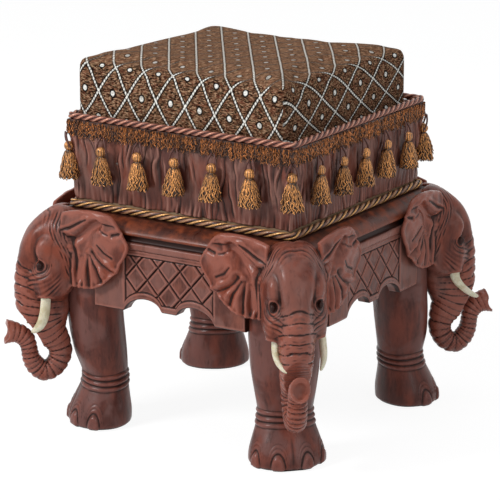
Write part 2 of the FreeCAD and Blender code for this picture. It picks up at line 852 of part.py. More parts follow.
def make_seat_battens():
    sizes = (f"2 * {cell('post_inner')}", cell("batten_width"), cell("batten_height"))
    corner = (f"-{cell('post_inner')}", f"-{cell('well_half')}", cell("batten_bottom"))
    battens = []
    for side, angle in SIDES.items():
        batten = turned_box("Batten_" + side, sizes, corner, angle)
        holes = [turned(hole, angle) for hole in batten_screw_solids(value("fit_gap"))]
        tool = shape_object("BattenHoles_" + side, Part.makeCompound(holes))
        battens.append(cut_away(batten, tool, "BattenDrilled_" + side))
    grouped(battens, "seat_battens")


# Ropes, fringe and tassels


def rope_loop(half, radius, z):
    """A closed square loop of rope with short bends at its corners."""
    bend = radius + value("rope_bend_extra")
    path = rounded_square(half, bend, z)
    ring = Part.Wire(Part.Circle(Vector(0, -half, z), Vector(1, 0, 0), radius).toShape())
    return path.makePipeShell([ring], True, False)


def make_ropes():
    low = value("deck_bottom") + value("touch_gap") + value("lower_rope_radius")
    high = value("wall_top") + value("touch_gap") + value("upper_rope_radius")
    solid_part("lower_rope", rope_loop(value("lower_rope_half"), value("lower_rope_radius"), low))
    solid_part("upper_rope", rope_loop(value("upper_rope_half"), value("upper_rope_radius"), high))


def wall_half_at(below_top):
    """The wall's outer half width, measured down from its top."""
    return value("wall_top_half") - value("wall_flare") * below_top / value("wall_height")


def make_fringe():
    drop = value("fringe_drop")
    top = value("wall_top")
    thick = value("fringe_thickness")
    outer = frustum(wall_half_at(drop) + thick, top - drop, wall_half_at(0) + thick, top)
    inner = frustum(wall_half_at(drop), top - drop, wall_half_at(0), top)
    solid_part("fringe", outer.cut(inner))


def tassel_body():
    """Skirt, neck and knob on an upright axis; the skirt is broader than it is deep."""
    bottom = value("wall_top") - value("tassel_reach")
    top = bottom + value("tassel_length")
    knob = value("knob_radius")
    height = value("skirt_height")
    shoulder = bottom + height
    axis = Vector(0, 0, 1)
    foot = Vector(0, 0, bottom)
    skirt = Part.makeCone(value("skirt_radius"), value("skirt_top_radius"), height, foot, axis)
    squash = FreeCAD.Matrix()
    squash.scale(1.0, value("skirt_depth_share"), 1.0)
    skirt = skirt.transformGeometry(squash)
    neck = Part.makeCylinder(knob / 2, top - knob - shoulder, Vector(0, 0, shoulder), axis)
    ball = Part.makeSphere(knob, Vector(0, 0, top - knob))
    return skirt.fuse([neck, ball]).removeSplitter()


def tassel_axis():
    """How far the side tassels hang from the stool's middle."""
    low = wall_half_at(value("tassel_reach"))
    return low + value("touch_gap") + value("skirt_radius") * value("skirt_depth_share")


def hanger(reach, fringe_reach):
    """The short web that carries a tassel from the fringe."""
    high = value("wall_top") - value("tassel_reach") + value("tassel_length") - value("hanger_height") / 2
    wide = value("hanger_width")
    length = reach - fringe_reach + value("overrun")
    return Part.makeBox(wide, length, value("hanger_height"), Vector(-wide / 2, -reach, high))


def fringe_block():
    """Everything inside the fringe's and the wall's outer faces."""
    drop = value("fringe_drop")
    top = value("wall_top")
    thick = value("fringe_thickness")
    inner = frustum(value("wall_low_half"), value("deck_top"), value("wall_top_half"), top)
    collar = frustum(wall_half_at(drop) + thick, top - drop, wall_half_at(0) + thick, top)
    return inner, collar


def side_tassel():
    reach = tassel_axis()
    body = tassel_body()
    body.translate(Vector(0, -reach, 0))
    web = hanger(reach, wall_half_at(0) + value("fringe_thickness"))
    return body.fuse(web).cut(list(fringe_block())).removeSplitter()


def make_tassels():
    tassel = side_tassel()
    for side, angle in SIDES.items():
        group = []
        for step in range(-2, 3):
            copy = tassel.copy()
            copy.translate(Vector(step * value("tassel_pitch"), 0, 0))
            group.append(copy)
        solid_part("tassels_" + side, Part.makeCompound(group), angle)


def make_corner_tassels():
    """Each wraps its corner, so the walls' corner is cut out of its back."""
    reach = value("corner_tassel_reach")
    body = tassel_body()
    body.translate(Vector(0, -reach, 0))
    fringe_corner = (wall_half_at(0) + value("fringe_thickness")) * math.sqrt(2)
    web = hanger(reach, fringe_corner - value("overrun"))
    corner = turned(body.fuse(web), CORNERS["back_right"]).cut(list(fringe_block())).removeSplitter()
    solid_part("tassels_corners", Part.makeCompound(side_copies(corner)))


# Seat


def cushion_form(inset, bottom, top_inset):
    """The cushion's outside, or with an inset its inside: drawn in low down, crowned above."""
    low = value("seat_bottom")
    half = value("seat_half") - inset
    corner = value("seat_corner") - inset
    edge_top = low + value("cushion_height") - top_inset
    waist = low + value("draw_in_height")
    drawn = value("seat_foot_half") - inset
    rings = [rounded_square(drawn, corner, bottom), rounded_square(half, corner, waist)]
    lower = Part.makeLoft(rings, True, True)
    face = Part.Face(rounded_square(half, corner, waist))
    upper = face.extrude(Vector(0, 0, edge_top - waist))
    rise = value("crown_rise")
    radius = (value("seat_half") ** 2 + rise**2) / (2 * rise)
    dome = Part.makeSphere(radius, Vector(0, 0, edge_top - radius))
    upper = upper.common(dome)
    rims = [edge for edge in upper.Edges if edge.BoundBox.ZMin > waist + value("overrun")]
    upper = upper.makeFillet(value("seat_edge_round") - inset, rims)
    return lower.fuse(upper).removeSplitter()


def make_seat():
    low = value("seat_bottom")
    thick = value("cover_thickness")
    board_top = low + value("seat_board_thickness")
    outer = cushion_form(0, low, 0)
    inner = cushion_form(thick, low, thick)
    solid_part("seat_cover", outer.cut(inner))
    filling = cushion_form(thick + value("touch_gap"), board_top, thick + value("touch_gap"))
    solid_part("seat_foam", filling)
    half = value("seat_foot_half") - thick - value("touch_gap")
    corner = value("seat_corner") - thick
    face = Part.Face(rounded_square(half, corner, low))
    solid_part("seat_board", face.extrude(Vector(0, 0, value("seat_board_thickness"))))


# Fixing groups


def make_fixings():
    apron_pegs = []
    for peg in apron_dowel_solids(0):
        apron_pegs += side_copies(peg)
    head_pegs = []
    for peg in head_dowel_solids(0):
        head_pegs += corner_copies(peg)
    batten_screws = []
    for screw in batten_screw_solids(0):
        batten_screws += side_copies(screw)
    solid_part("apron_dowels", Part.makeCompound(apron_pegs))
    solid_part("head_dowels", Part.makeCompound(head_pegs))
    solid_part("batten_screws", Part.makeCompound(batten_screws))
    solid_part("deck_screws", Part.makeCompound(deck_screw_solids(0)))
    solid_part("foot_glides", Part.makeCompound(corner_copies(glide_solid(0))))


def check_and_write():
    doc.recompute()
    for obj in doc.Objects:
        if "Invalid" in obj.State or "Error" in obj.State:
            raise RuntimeError(f"{obj.Name} failed: {obj.State}")
    os.makedirs("parts", exist_ok=True)
    for feature in parts:
        shape = feature.Shape
        if shape.isNull() or not shape.isValid() or not shape.Solids:
            raise RuntimeError(f"{feature.Label} has no valid shape")
        shape.exportStep(os.path.join("parts", feature.Label + ".step"))
        print(f"{feature.Label}: {len(shape.Solids)} solids, {shape.Volume / 1000:.1f} cm3")


fill_sheet()
make_legs()
make_heads()
make_trunks()
make_tusks()
make_ears()
make_aprons()
make_base_moulding()
make_frieze()
make_deck()
make_dust_cover()
make_walls()
make_corner_posts()
make_seat_battens()
make_ropes()
make_fringe()
make_tassels()
make_corner_tassels()
make_seat()
make_fixings()
check_and_write()
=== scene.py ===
import math

import bmesh
import bpy
import numpy as np
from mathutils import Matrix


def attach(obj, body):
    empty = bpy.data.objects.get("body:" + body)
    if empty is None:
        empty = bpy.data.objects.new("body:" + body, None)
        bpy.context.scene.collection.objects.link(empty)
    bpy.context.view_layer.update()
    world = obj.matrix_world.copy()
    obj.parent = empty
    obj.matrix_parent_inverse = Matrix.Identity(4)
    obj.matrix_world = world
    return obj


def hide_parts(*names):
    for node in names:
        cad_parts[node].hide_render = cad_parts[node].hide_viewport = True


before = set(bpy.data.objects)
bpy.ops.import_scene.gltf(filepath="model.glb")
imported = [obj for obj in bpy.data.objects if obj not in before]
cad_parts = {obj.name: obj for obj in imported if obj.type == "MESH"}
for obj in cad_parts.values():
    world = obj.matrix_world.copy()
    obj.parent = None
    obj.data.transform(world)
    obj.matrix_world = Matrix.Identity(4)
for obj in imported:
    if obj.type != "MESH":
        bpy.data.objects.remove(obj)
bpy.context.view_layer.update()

import openvdb
from mathutils import Matrix, Vector

# Lengths are millimetres here and metres in Blender. An elephant is modelled in its own
# frame, x outward along the stool's diagonal and z up, and then turned to its corner.
MM = 0.001
SIDES = {"front": 0.0, "right": 90.0, "back": 180.0, "left": 270.0}
CORNERS = {"front_right": -45.0, "front_left": -135.0, "back_left": 135.0, "back_right": 45.0}

SEAT_HALF, SEAT_FOOT, SEAT_LOW, SEAT_TOP = 145.5, 142.5, 340.0, 452.0
WALL_IN, WALL_LOW, WALL_TOP = 146.5, 151.5, 156.0
DECK_TOP, BOX_TOP = 284.6, 382.0
BASE_HALF, LEG_TOP = 178.0, 240.0
LEG_OUT, HEAD_BACK = 193.04, 227.04
APRON_HALF, APRON_BACK = 107.0, -162.0
FRINGE_LOW, TASSEL_FOOT = 358.0, 309.0
CORNER_TASSEL_OUT = 221.0
TASSEL_PITCH = CORNER_TASSEL_OUT * math.sqrt(0.5) / 3


# Meshes


def mesh_of(name, points, faces, smooth=True, layers=None):
    """A mesh from arrays: points in millimetres, quads or triangles, per-point layers."""
    mesh = bpy.data.meshes.new(name)
    points = np.asarray(points, np.float32) * MM
    faces = np.asarray(faces, np.int32)
    count, sides = faces.shape
    mesh.vertices.add(len(points))
    mesh.vertices.foreach_set("co", points.ravel())
    mesh.loops.add(count * sides)
    mesh.loops.foreach_set("vertex_index", faces.ravel())
    mesh.polygons.add(count)
    mesh.polygons.foreach_set("loop_start", np.arange(0, count * sides, sides, dtype=np.int32))
    mesh.polygons.foreach_set("loop_total", np.full(count, sides, np.int32))
    mesh.polygons.foreach_set("use_smooth", np.full(count, smooth))
    mesh.update(calc_edges=True)
    for key, values in (layers or {}).items():
        layer = mesh.attributes.new(key, "FLOAT", "POINT")
        layer.data.foreach_set("value", np.asarray(values, np.float32).ravel())
    mesh.validate()
    return mesh


def show(name, mesh, material, slot, *nodes, turn=0.0):
    """A piece on the stool, turned about z, in place of CAD nodes."""
    if turn:
        mesh = mesh.copy()
        mesh.transform(Matrix.Rotation(math.radians(turn), 4, "Z"))
    obj = bpy.data.objects.new(name, mesh)
    bpy.context.scene.collection.objects.link(obj)
    mesh.materials.clear()
    mesh.materials.append(material)
    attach(obj, "stool")
    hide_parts(*nodes)


def grid_faces(rows, columns, wrap_rows=False, wrap_columns=False, start=0):
    """Quads over a rows by columns block of points, joined round where it wraps."""
    r = np.arange(rows if wrap_rows else rows - 1)
    c = np.arange(columns if wrap_columns else columns - 1)
    r, c = np.meshgrid(r, c, indexing="ij")
    r2, c2 = (r + 1) % rows, (c + 1) % columns
    quads = np.stack([r * columns + c, r * columns + c2, r2 * columns + c2, r2 * columns + c], -1)
    return quads.reshape(-1, 4) + start


def joined(parts):
    """Several (points, quads, layers) joined into one."""
    points, faces, start = [], [], 0
    layers = {}
    for p, f, l in parts:
        points.append(p)
        faces.append(f + start)
        start += len(p)
        for key, values in l.items():
            layers.setdefault(key, []).append(values)
    layers = {key: np.concatenate(values) for key, values in layers.items()}
    return np.concatenate(points), np.concatenate(faces), layers


def flat_row(x, y, z):
    """One row of points for a block; y and z may be single numbers."""
    return np.stack(np.broadcast_arrays(x, y, z), -1)[None]


def with_ends(points, cavity, back):
    """A wall's block of points with a column at each end that closes it to its back plane."""
    ends = [points[:, :1].copy(), points[:, -1:].copy()]
    for end in ends:
        end[..., 1] = back
    points = np.concatenate([ends[0], points, ends[1]], axis=1)
    return points, np.pad(cavity, ((0, 0), (1, 1)), "edge")


def capped_ends(rings, columns):
    """Fans of quads that close the first and last ring of a tube with an even count."""
    i = np.arange(columns // 2 - 1)
    low = np.stack([i, i + 1, columns - 2 - i, columns - 1 - i], -1)
    return np.concatenate([low, low[:, ::-1] + (rings - 1) * columns])


def tube(path, radii, columns=8, up=(0.0, 0.0, 1.0), flat=1.0):
    """A closed tube round a path: its points and quads."""
    path = np.asarray(path, float)
    radii = np.broadcast_to(radii, len(path))
    tangent = np.gradient(path, axis=0)
    tangent /= np.linalg.norm(tangent, axis=1)[:, None]
    side = np.cross(tangent, up)
    side /= np.maximum(np.linalg.norm(side, axis=1)[:, None], 1e-6)
    other = flat * np.cross(side, tangent)
    angle = np.arange(columns) * 2 * np.pi / columns
    ring = side[:, None] * np.cos(angle)[None, :, None] + other[:, None] * np.sin(angle)[None, :, None]
    points = (path[:, None] + ring * radii[:, None, None]).reshape(-1, 3)
    return points, np.concatenate([grid_faces(len(path), columns, wrap_columns=True), capped_ends(len(path), columns)])


def smooth_noise(shape, step, seed):
    """Smooth random values from -1 to 1 over a 2-D block, with features about step cells wide."""
    rng = np.random.default_rng(seed)
    coarse = [max(2, int(math.ceil(n / s)) + 3) for n, s in zip(shape, step)]
    values = rng.uniform(-1, 1, coarse)
    for axis, (n, s) in enumerate(zip(shape, step)):
        place = np.arange(n) / s
        index = np.minimum(place.astype(int), coarse[axis] - 2)
        part = place - index
        part = part * part * (3 - 2 * part)
        first = np.take(values, index, axis)
        second = np.take(values, index + 1, axis)
        part = part.reshape([-1 if a == axis else 1 for a in range(2)])
        values = first * (1 - part) + second * part
    return values


def blurred(field, steps, axes=(0, 1)):
    """A field averaged with its neighbours again and again."""
    for _ in range(steps):
        for axis in axes:
            field = (field + np.roll(field, 1, axis)) * 0.5
            field = (field + np.roll(field, -1, axis)) * 0.5
    return field


def ease(low, high, value):
    """0 to 1, smoothly, as the value goes from low to high."""
    part = np.clip((value - low) / (high - low), 0, 1)
    return part * part * (3 - 2 * part)


# Materials


class Value:
    """A node's output, so that + - * and abs on it add the nodes that work them out."""

    def __init__(self, owner, socket):
        self.owner, self.socket = owner, socket

    def __add__(self, other):
        return self.owner.calc("ADD", self, other)

    def __sub__(self, other):
        return self.owner.calc("SUBTRACT", self, other)

    def __rsub__(self, other):
        return self.owner.calc("SUBTRACT", other, self)

    def __mul__(self, other):
        return self.owner.calc("MULTIPLY", self, other)

    def __abs__(self):
        return self.owner.calc("ABSOLUTE", self)


class Finish:
    """A procedural material; its methods add nodes and return their outputs."""

    def __init__(self, name, roughness=0.5, **settings):
        self.material = bpy.data.materials.new(name)
        self.material.use_nodes = True
        self.nodes = self.material.node_tree.nodes
        self.links = self.material.node_tree.links
        self.shader = next(n for n in self.nodes if n.type == "BSDF_PRINCIPLED")
        self.shader.inputs["Roughness"].default_value = roughness
        for key, value in settings.items():
            self.shader.inputs[key.replace("_", " ")].default_value = value

    def put(self, socket, value):
        if isinstance(value, Value):
            self.links.new(value.socket, socket)
        elif isinstance(value, (tuple, list)) and socket.type == "RGBA":
            socket.default_value = (*value, 1.0)
        elif value is not None:
            socket.default_value = value

    def add(self, kind, inputs=(), out=0, **settings):
        node = self.nodes.new(kind)
        for key, value in settings.items():
            setattr(node, key, value)
        for key, value in dict(inputs).items():
            self.put(node.inputs[key], value)
        return Value(self, node.outputs[out])

    def place(self):
        """Object coordinates in millimetres."""
        coords = self.add("ShaderNodeTexCoord", out="Object")
        return self.add("ShaderNodeVectorMath", {0: coords, "Scale": 1 / MM}, operation="SCALE")

    def stretched(self, place, scale):
        return self.add("ShaderNodeVectorMath", {0: place, 1: scale}, operation="MULTIPLY")

    def layer(self, name):
        return self.add("ShaderNodeAttribute", attribute_name=name, out="Fac")

    def parts(self, vector):
        node = self.nodes.new("ShaderNodeSeparateXYZ")
        self.put(node.inputs[0], vector)
        return [Value(self, out) for out in node.outputs]

    def joined(self, x, y, z):
        return self.add("ShaderNodeCombineXYZ", {0: x, 1: y, 2: z})

    def calc(self, operation, a, b=None, clamp=False):
        return self.add("ShaderNodeMath", {0: a, 1: b}, operation=operation, use_clamp=clamp)

    def noise(self, place, scale, detail=3.0, rough=0.55, bend=0.0):
        inputs = {"Vector": place, "Scale": scale, "Detail": detail, "Roughness": rough, "Distortion": bend}
        return self.add("ShaderNodeTexNoise", inputs)

    def spread(self, value, low, high, to_low=0.0, to_high=1.0):
        inputs = {0: value, 1: low, 2: high, 3: to_low, 4: to_high}
        return self.add("ShaderNodeMapRange", inputs, clamp=True, interpolation_type="SMOOTHSTEP")

    def mix(self, factor, a, b):
        return self.add("ShaderNodeMix", {0: factor, 6: a, 7: b}, out=2, data_type="RGBA", clamp_factor=True)

    def coats(self, color, *coats):
        """A colour with coats of (share, colour) over it, one after the other."""
        for share, coat in coats:
            color = self.mix(share, color, coat)
        return color

    def bump(self, height, distance, strength):
        return self.add("ShaderNodeBump", {"Height": height, "Distance": distance * MM, "Strength": strength})

    def finish(self, color, roughness=None, normal=None, metallic=None):
        for key, value in (("Base Color", color), ("Roughness", roughness), ("Normal", normal), ("Metallic", metallic)):
            self.put(self.shader.inputs[key], value)
        return self.material


def times(color, share):
    return tuple(min(1, v * share) for v in color)


# Near-black, for the grain's dark streaks and for painted shade in hollows.
DEEP = (0.018, 0.0034, 0.0016)


def carved_material(name, middle, high, mauve, tone, ridge_wear_and_highlight=0.75, grain=(0.05, 0.05, 0.012)):
    """Stained carving: grain streaks, painted shade in the hollows, paler red ridges that are partly wear and partly
    painted highlight, and a grey-mauve painted sheen in broad patches.
    """
    m = Finish(name, 0.40, Specular_IOR_Level=0.21)
    place = m.place()
    hollow = m.layer("cavity")
    broad = m.noise(place, 0.018, 3.0, 0.6, 0.4)
    patch = m.noise(m.stretched(place, (1, 1, 0.4)), 0.060, 4.0, 0.6, 0.2)
    streak = m.noise(m.stretched(place, grain), 3.4, 3.0, 0.6, 0.3)
    color = m.coats(
        m.mix(m.spread(patch, 0.35, 0.69), middle, high),
        # Painted sheen: grey-mauve over broad random patches.
        (m.spread(broad, 0.45, 0.58) * tone, mauve),
        (m.spread(streak, 0.52, 0.74) * 0.45, DEEP),
        # Paler raised places: partly wear, partly painted highlight.
        (m.spread(hollow, 0.02, 0.42) * ridge_wear_and_highlight, tuple(0.7 * h + 0.7 * g for h, g in zip(high, mauve))),
        # Painted shade: near-black in the hollows.
        (m.spread(hollow + (patch - 0.5) * 0.22, 0.0, -0.42) * 0.97, DEEP),
    )
    rough = m.spread(patch + hollow * -0.6, 0.2, 0.8, 0.25, 0.48)
    height = streak * 0.5 + m.noise(place, 0.9, 4.0, 0.6) * 0.6
    return m.finish(color, rough, m.bump(height, 0.35, 0.6))


def plain_wood(name, dark, light, along=(0.03, 0.4, 0.4), roughness=0.6):
    m = Finish(name, roughness)
    place = m.place()
    wave = m.noise(m.stretched(place, along), 1.0, 5.0, 0.6, 1.2)
    fibre = m.noise(m.stretched(place, tuple(v * 6 for v in along)), 1.0, 3.0, 0.7)
    color = m.mix(m.spread(wave, 0.3, 0.7), dark, light)
    color = m.mix(m.spread(fibre, 0.5, 0.7) * 0.4, color, times(dark, 0.6))
    return m.finish(color, m.spread(fibre, 0.3, 0.7, roughness - 0.08, roughness + 0.1), m.bump(fibre, 0.25, 0.5))


def pleat_material():
    m = Finish("draped_wall", 0.44, Specular_IOR_Level=0.30)
    place = m.place()
    hollow = m.layer("cavity")
    high_up = m.parts(place)[2]
    patch = m.noise(m.stretched(place, (1, 1, 0.4)), 0.050, 4.0, 0.6, 0.6)
    tint = m.noise(m.stretched(place, (1, 1, 0.4)), 0.030, 3.0, 0.6, 0.3)
    streak = m.noise(m.stretched(place, (1, 1, 0.10)), 0.42, 4.0, 0.6)
    color = m.coats(
        m.mix(m.spread(patch, 0.38, 0.62), (0.098, 0.029, 0.021), (0.240, 0.118, 0.093)),
        (m.spread(tint, 0.50, 0.62, 0.0, 0.75), (0.205, 0.058, 0.036)),
        (m.spread(high_up, 322.0, 290.0, 0.0, 0.55), (0.165, 0.044, 0.028)),
        (m.spread(streak, 0.52, 0.72) * 0.40, (0.045, 0.013, 0.010)),
        # Painted highlight on the raised folds.
        (m.spread(hollow, 0.15, 0.85) * 0.70, (0.350, 0.165, 0.125)),
        # Painted shade: near-black in the creases.
        (m.spread(hollow, -0.08, -0.80, 0.0, 0.93), (0.020, 0.006, 0.004)),
    )
    height = streak * 0.8 + m.noise(place, 1.1, 3.0) * 0.4
    return m.finish(color, m.spread(patch, 0.3, 0.7, 0.34, 0.52), m.bump(height, 0.35, 0.6))


def gilt_material(name, gold, dark, low, high):
    """Antique gold rubbed over dark brown: gold on the ridges of the strands. The ridge layer also paints highlight on
    the strands' outer faces and shade between and inside them.
    """
    m = Finish(name, 0.36, Specular_IOR_Level=0.5)
    place = m.place()
    ridge = m.layer("ridge")
    patch = m.noise(place, 0.30, 3.0, 0.6)
    broad = m.noise(place, 0.05, 2.0, 0.5)
    # Painted highlight and painted shade: the ridge layer sets how much gold shows.
    share = m.spread(ridge + (patch - 0.5) * 0.9, low, high)
    bright = m.mix(m.spread(m.noise(place, 0.7, 2.0), 0.4, 0.62), times(gold, 0.7), times(gold, 1.7))
    bright = m.mix(m.spread(broad, 0.40, 0.62, 0.0, 0.5), bright, times(gold, 0.5))
    # The tassels' hanging cords have a ridge of -2 and are dark red.
    color = m.mix(m.spread(ridge, -1.5, -1.9), m.mix(share, dark, bright), (0.085, 0.020, 0.012))
    normal = m.bump(m.noise(place, 1.6, 3.0), 0.25, 0.5)
    return m.finish(color, m.spread(patch, 0.3, 0.7, 0.30, 0.46), normal, share * 0.55)


def rope_material(name, bright, dull, split, crest, gap):
    """Twisted strands; every other strand may be darker. Fine fibres run along each one. A painted highlight runs along
    each strand's crest, and painted shade fills the grooves between strands.
    """
    m = Finish(name, 0.38, Specular_IOR_Level=0.6)
    place = m.place()
    ridge = m.layer("ridge")
    patch = m.noise(place, 0.09, 3.0, 0.6)
    grime = m.noise(place, 0.8, 3.0)
    share = m.calc("ADD", m.layer("strand") * split, (patch - 0.5) * 1.1, clamp=True)
    color = m.coats(
        m.mix(share, dull, bright),
        # Painted highlight along each strand's crest.
        (m.spread(ridge + patch * 0.2, 0.82, 1.12, 0.0, 0.75), crest),
        # Painted shade in the grooves between the strands.
        (m.spread(ridge, gap, gap - 0.45, 0.0, 0.97), (0.014, 0.004, 0.003)),
        (m.spread(grime, 0.5, 0.75) * 0.4, (0.05, 0.02, 0.012)),
    )
    fibre = m.calc("SINE", m.layer("around") * 9.0 + m.layer("along") * 0.9)
    return m.finish(color, m.spread(grime, 0.3, 0.7, 0.3, 0.48), m.bump(fibre * 0.25 + grime, 0.3, 0.6), share * 0.55)


def ivory_material():
    m = Finish("aged_ivory", 0.34, Subsurface_Weight=0.08, Subsurface_Scale=0.003, Coat_Weight=0.15)
    place = m.place()
    patch = m.noise(place, 0.09, 4.0, 0.6, 0.3)
    streak = m.noise(m.stretched(place, (1, 1, 0.15)), 0.9, 3.0)
    color = m.mix(m.spread(patch, 0.4, 0.7), (0.79, 0.74, 0.56), (0.58, 0.50, 0.30))
    color = m.mix(m.spread(streak, 0.55, 0.75) * 0.35, color, (0.45, 0.36, 0.19))
    return m.finish(color, None, m.bump(streak, 0.12, 0.5))


CLOTH_ROUND = 14.0


def brocade_material():
    """One cloth over the top and sides: corded lozenges with oval dots on a slubby ground."""
    m = Finish("brocade", 0.85, Specular_IOR_Level=0.02)
    x, y, drop = m.layer("cloth_x"), m.layer("cloth_y"), m.layer("cloth_drop")
    flat = SEAT_HALF - CLOTH_ROUND
    out_x, out_y = abs(x), abs(y)
    # Over the rounded edge the cloth's length is an arc; then it hangs straight down.
    over = m.calc("MAXIMUM", m.calc("MAXIMUM", out_x, out_y) - flat, 0.0)
    under = m.calc("MAXIMUM", CLOTH_ROUND - drop, 0.0)
    arc = m.calc("ARCTAN2", over, under) * CLOTH_ROUND
    hang = (arc + m.calc("MAXIMUM", drop - CLOTH_ROUND, 0.0)) * m.spread(over, 0.0, 0.5)
    along_x = m.calc("SIGN", x) * (m.calc("MINIMUM", out_x, flat) + hang)
    along_y = m.calc("SIGN", y) * (m.calc("MINIMUM", out_y, flat) + hang)
    wide = m.calc("GREATER_THAN", out_x, out_y)
    narrow = 1.0 - wide
    a = along_x * wide + x * narrow
    b = along_y * narrow + y * wide
    wobble = (m.noise(m.joined(a, b, 0.0), 0.05, 2.0) - 0.5) * 0.035

    # Two families of lines; the second is pulled a quarter over at the front corner's fold.
    fold = m.spread(x + y, -20.0, 20.0, 0.0, 0.25)
    u = a * 0.0255 + b * 0.0170 + 5.766 + wobble
    v = a * 0.0252 - b * 0.01776 + a * b * 0.00001 + 0.571 + (fold + wobble)
    near_u, near_v = (m.calc("PINGPONG", line, 0.5) * 32.5 for line in (u, v))
    centre_u, centre_v = (m.calc("FRACT", line) - 0.5 for line in (u, v))
    off_a, off_b = (centre_u + centre_v) * 19.7, (centre_u - centre_v) * 27.6
    dot = m.calc("SQRT", m.calc("POWER", off_a, 2.0) + m.calc("POWER", off_b, 2.0))

    # Slubs run level on the top and on the sides.
    level = m.joined(x + y * 0.6, y * 0.8 - x * 0.5, drop)
    slub = m.noise(m.stretched(level, (0.13, 0.34, 0.85)), 0.72, 3.0, 0.65, 0.5)
    fleck = m.noise(m.stretched(level, (0.20, 0.5, 1.0)), 0.80, 2.0, 0.6, 0.3)
    tint = m.noise(m.stretched(level, (0.4, 0.8, 1.0)), 0.30, 3.0, 0.6)
    on_top = m.spread(drop, 7.0, 1.5)
    ground = m.coats(
        m.mix(m.spread(slub, 0.43, 0.56), (0.014, 0.005, 0.003), (0.172, 0.078, 0.042)),
        (m.spread(fleck, 0.52, 0.61, 0.0, 0.85), (0.470, 0.290, 0.175)),
        (m.spread(tint, 0.54, 0.66, 0.0, 0.5), (0.210, 0.065, 0.036)),
        (m.spread(tint, 0.44, 0.36, 0.0, 0.35), (0.120, 0.090, 0.045)),
        (m.spread(fleck, 0.42, 0.32, 0.0, 0.9), (0.010, 0.006, 0.004)),
        # Painted light: the top is lighter.
        (on_top * 0.35, (0.290, 0.155, 0.090)),
    )

    # Beaded cords, each with a painted shadow along both sides; on the top one family is fainter and the painted shadow
    # lighter.
    cords = []
    for near, other, reach, left in ((near_u, v, 1.0, 0.80), (near_v, u, 0.8, 0.10)):
        beads = m.spread(m.calc("SINE", other * 54.0), -0.95, 0.1, 0.30, 1.0)
        cords.append(m.spread(near, 1.25, 0.88) * beads * m.spread(on_top, 0.0, reach, 1.0, left))
    cord = m.calc("MAXIMUM", *cords)
    border = m.spread(m.calc("MINIMUM", near_u, near_v), 3.1, 1.8) * 0.94 * (1.0 - on_top * 0.45)
    shown = m.spread(on_top, 0.0, 1.0, 1.0, 0.55)
    spot = m.spread(dot + (fleck - 0.5) * 2.0, 3.2, 2.4)
    color = m.coats(
        ground,
        (border, (0.006, 0.004, 0.003)),
        (cord, (0.95, 0.93, 0.86)),
        (m.spread(dot, 4.9, 3.9) * shown, (0.006, 0.005, 0.004)),
        (spot * shown, m.mix(m.spread(fleck, 0.36, 0.56), (0.50, 0.48, 0.43), (0.96, 0.95, 0.90))),
    )
    height = slub * 1.6 + fleck * 1.2 + (cord * 1.6 + spot * 1.2)
    return m.finish(color, None, m.bump(height, 0.8, 0.9))


def simple_material(name, dark, light, scale, roughness, depth, metallic=0.0):
    m = Finish(name, roughness, Metallic=metallic)
    patch = m.noise(m.place(), scale, 4.0, 0.6)
    color = m.mix(m.spread(patch, 0.35, 0.68), dark, light)
    return m.finish(color, m.spread(patch, 0.3, 0.7, roughness - 0.07, roughness + 0.07), m.bump(patch, depth, 0.5))


def dust_cloth_material():
    m = Finish("dust_cloth", 0.9)
    x, y, _ = m.parts(m.place())
    thread = m.calc("SINE", x * 5.0) * m.calc("SINE", y * 5.0)
    color = m.mix(m.spread(thread, -0.6, 0.6), (0.012, 0.011, 0.012), (0.035, 0.033, 0.034))
    return m.finish(color, None, m.bump(thread, 0.3, 0.6))


carved = carved_material(
    "carved_mahogany", (0.104, 0.025, 0.016), (0.255, 0.062, 0.034), (0.220, 0.090, 0.070), 0.75, 0.8)
leg_wood = carved_material(
    "leg_mahogany", (0.092, 0.027, 0.020), (0.195, 0.053, 0.035), (0.175, 0.078, 0.067), 0.7, 0.5)
apron_wood = carved_material(
    "apron_mahogany", (0.110, 0.034, 0.024), (0.245, 0.080, 0.053), (0.215, 0.098, 0.080), 0.7)
# The frieze's colours are darker than the other carving's, partly as painted shade for its place under the lower rope.
frieze_wood = carved_material(
    "frieze_mahogany", (0.050, 0.012, 0.007), (0.240, 0.052, 0.018), (0.080, 0.024, 0.017), 0.3,
    grain=(0.012, 0.012, 0.08))
pleats = pleat_material()
gilt = gilt_material("gilt_strands", (0.58, 0.255, 0.080), (0.026, 0.008, 0.003), 0.50, 1.00)
fringe_gilt = gilt_material("fringe_strands", (0.44, 0.158, 0.046), (0.036, 0.010, 0.004), 0.48, 1.05)
lower_rope_look = rope_material(
    "two_tone_rope", (0.72, 0.38, 0.12), (0.140, 0.036, 0.022), 0.95, (0.66, 0.36, 0.17), 0.70)
upper_rope_look = rope_material(
    "copper_rope", (0.270, 0.066, 0.034), (0.140, 0.033, 0.019), 0.4, (0.82, 0.40, 0.26), 0.42)
brocade = brocade_material()
ivory = ivory_material()
frame_wood = plain_wood("frame_wood", (0.20, 0.12, 0.065), (0.34, 0.23, 0.135))
peg_wood = plain_wood("peg_wood", (0.36, 0.24, 0.13), (0.52, 0.38, 0.23))
steel = simple_material("steel", (0.42, 0.42, 0.43), (0.62, 0.62, 0.63), 0.8, 0.32, 0.1, 1.0)
glide_felt = simple_material("glide", (0.030, 0.024, 0.022), (0.060, 0.048, 0.042), 1.2, 0.85, 0.3)
dust_cloth = dust_cloth_material()

for look, names in (
    (frame_wood, ("deck_board", "corner_posts", "seat_battens", "seat_board")),
    (peg_wood, ("apron_dowels", "head_dowels")),
    (steel, ("batten_screws", "deck_screws")),
    (glide_felt, ("foot_glides",)),
    (dust_cloth, ("dust_cover",)),
):
    for node in names:
        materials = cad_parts[node].data.materials
        materials.clear()
        materials.append(look)


# Pleated walls


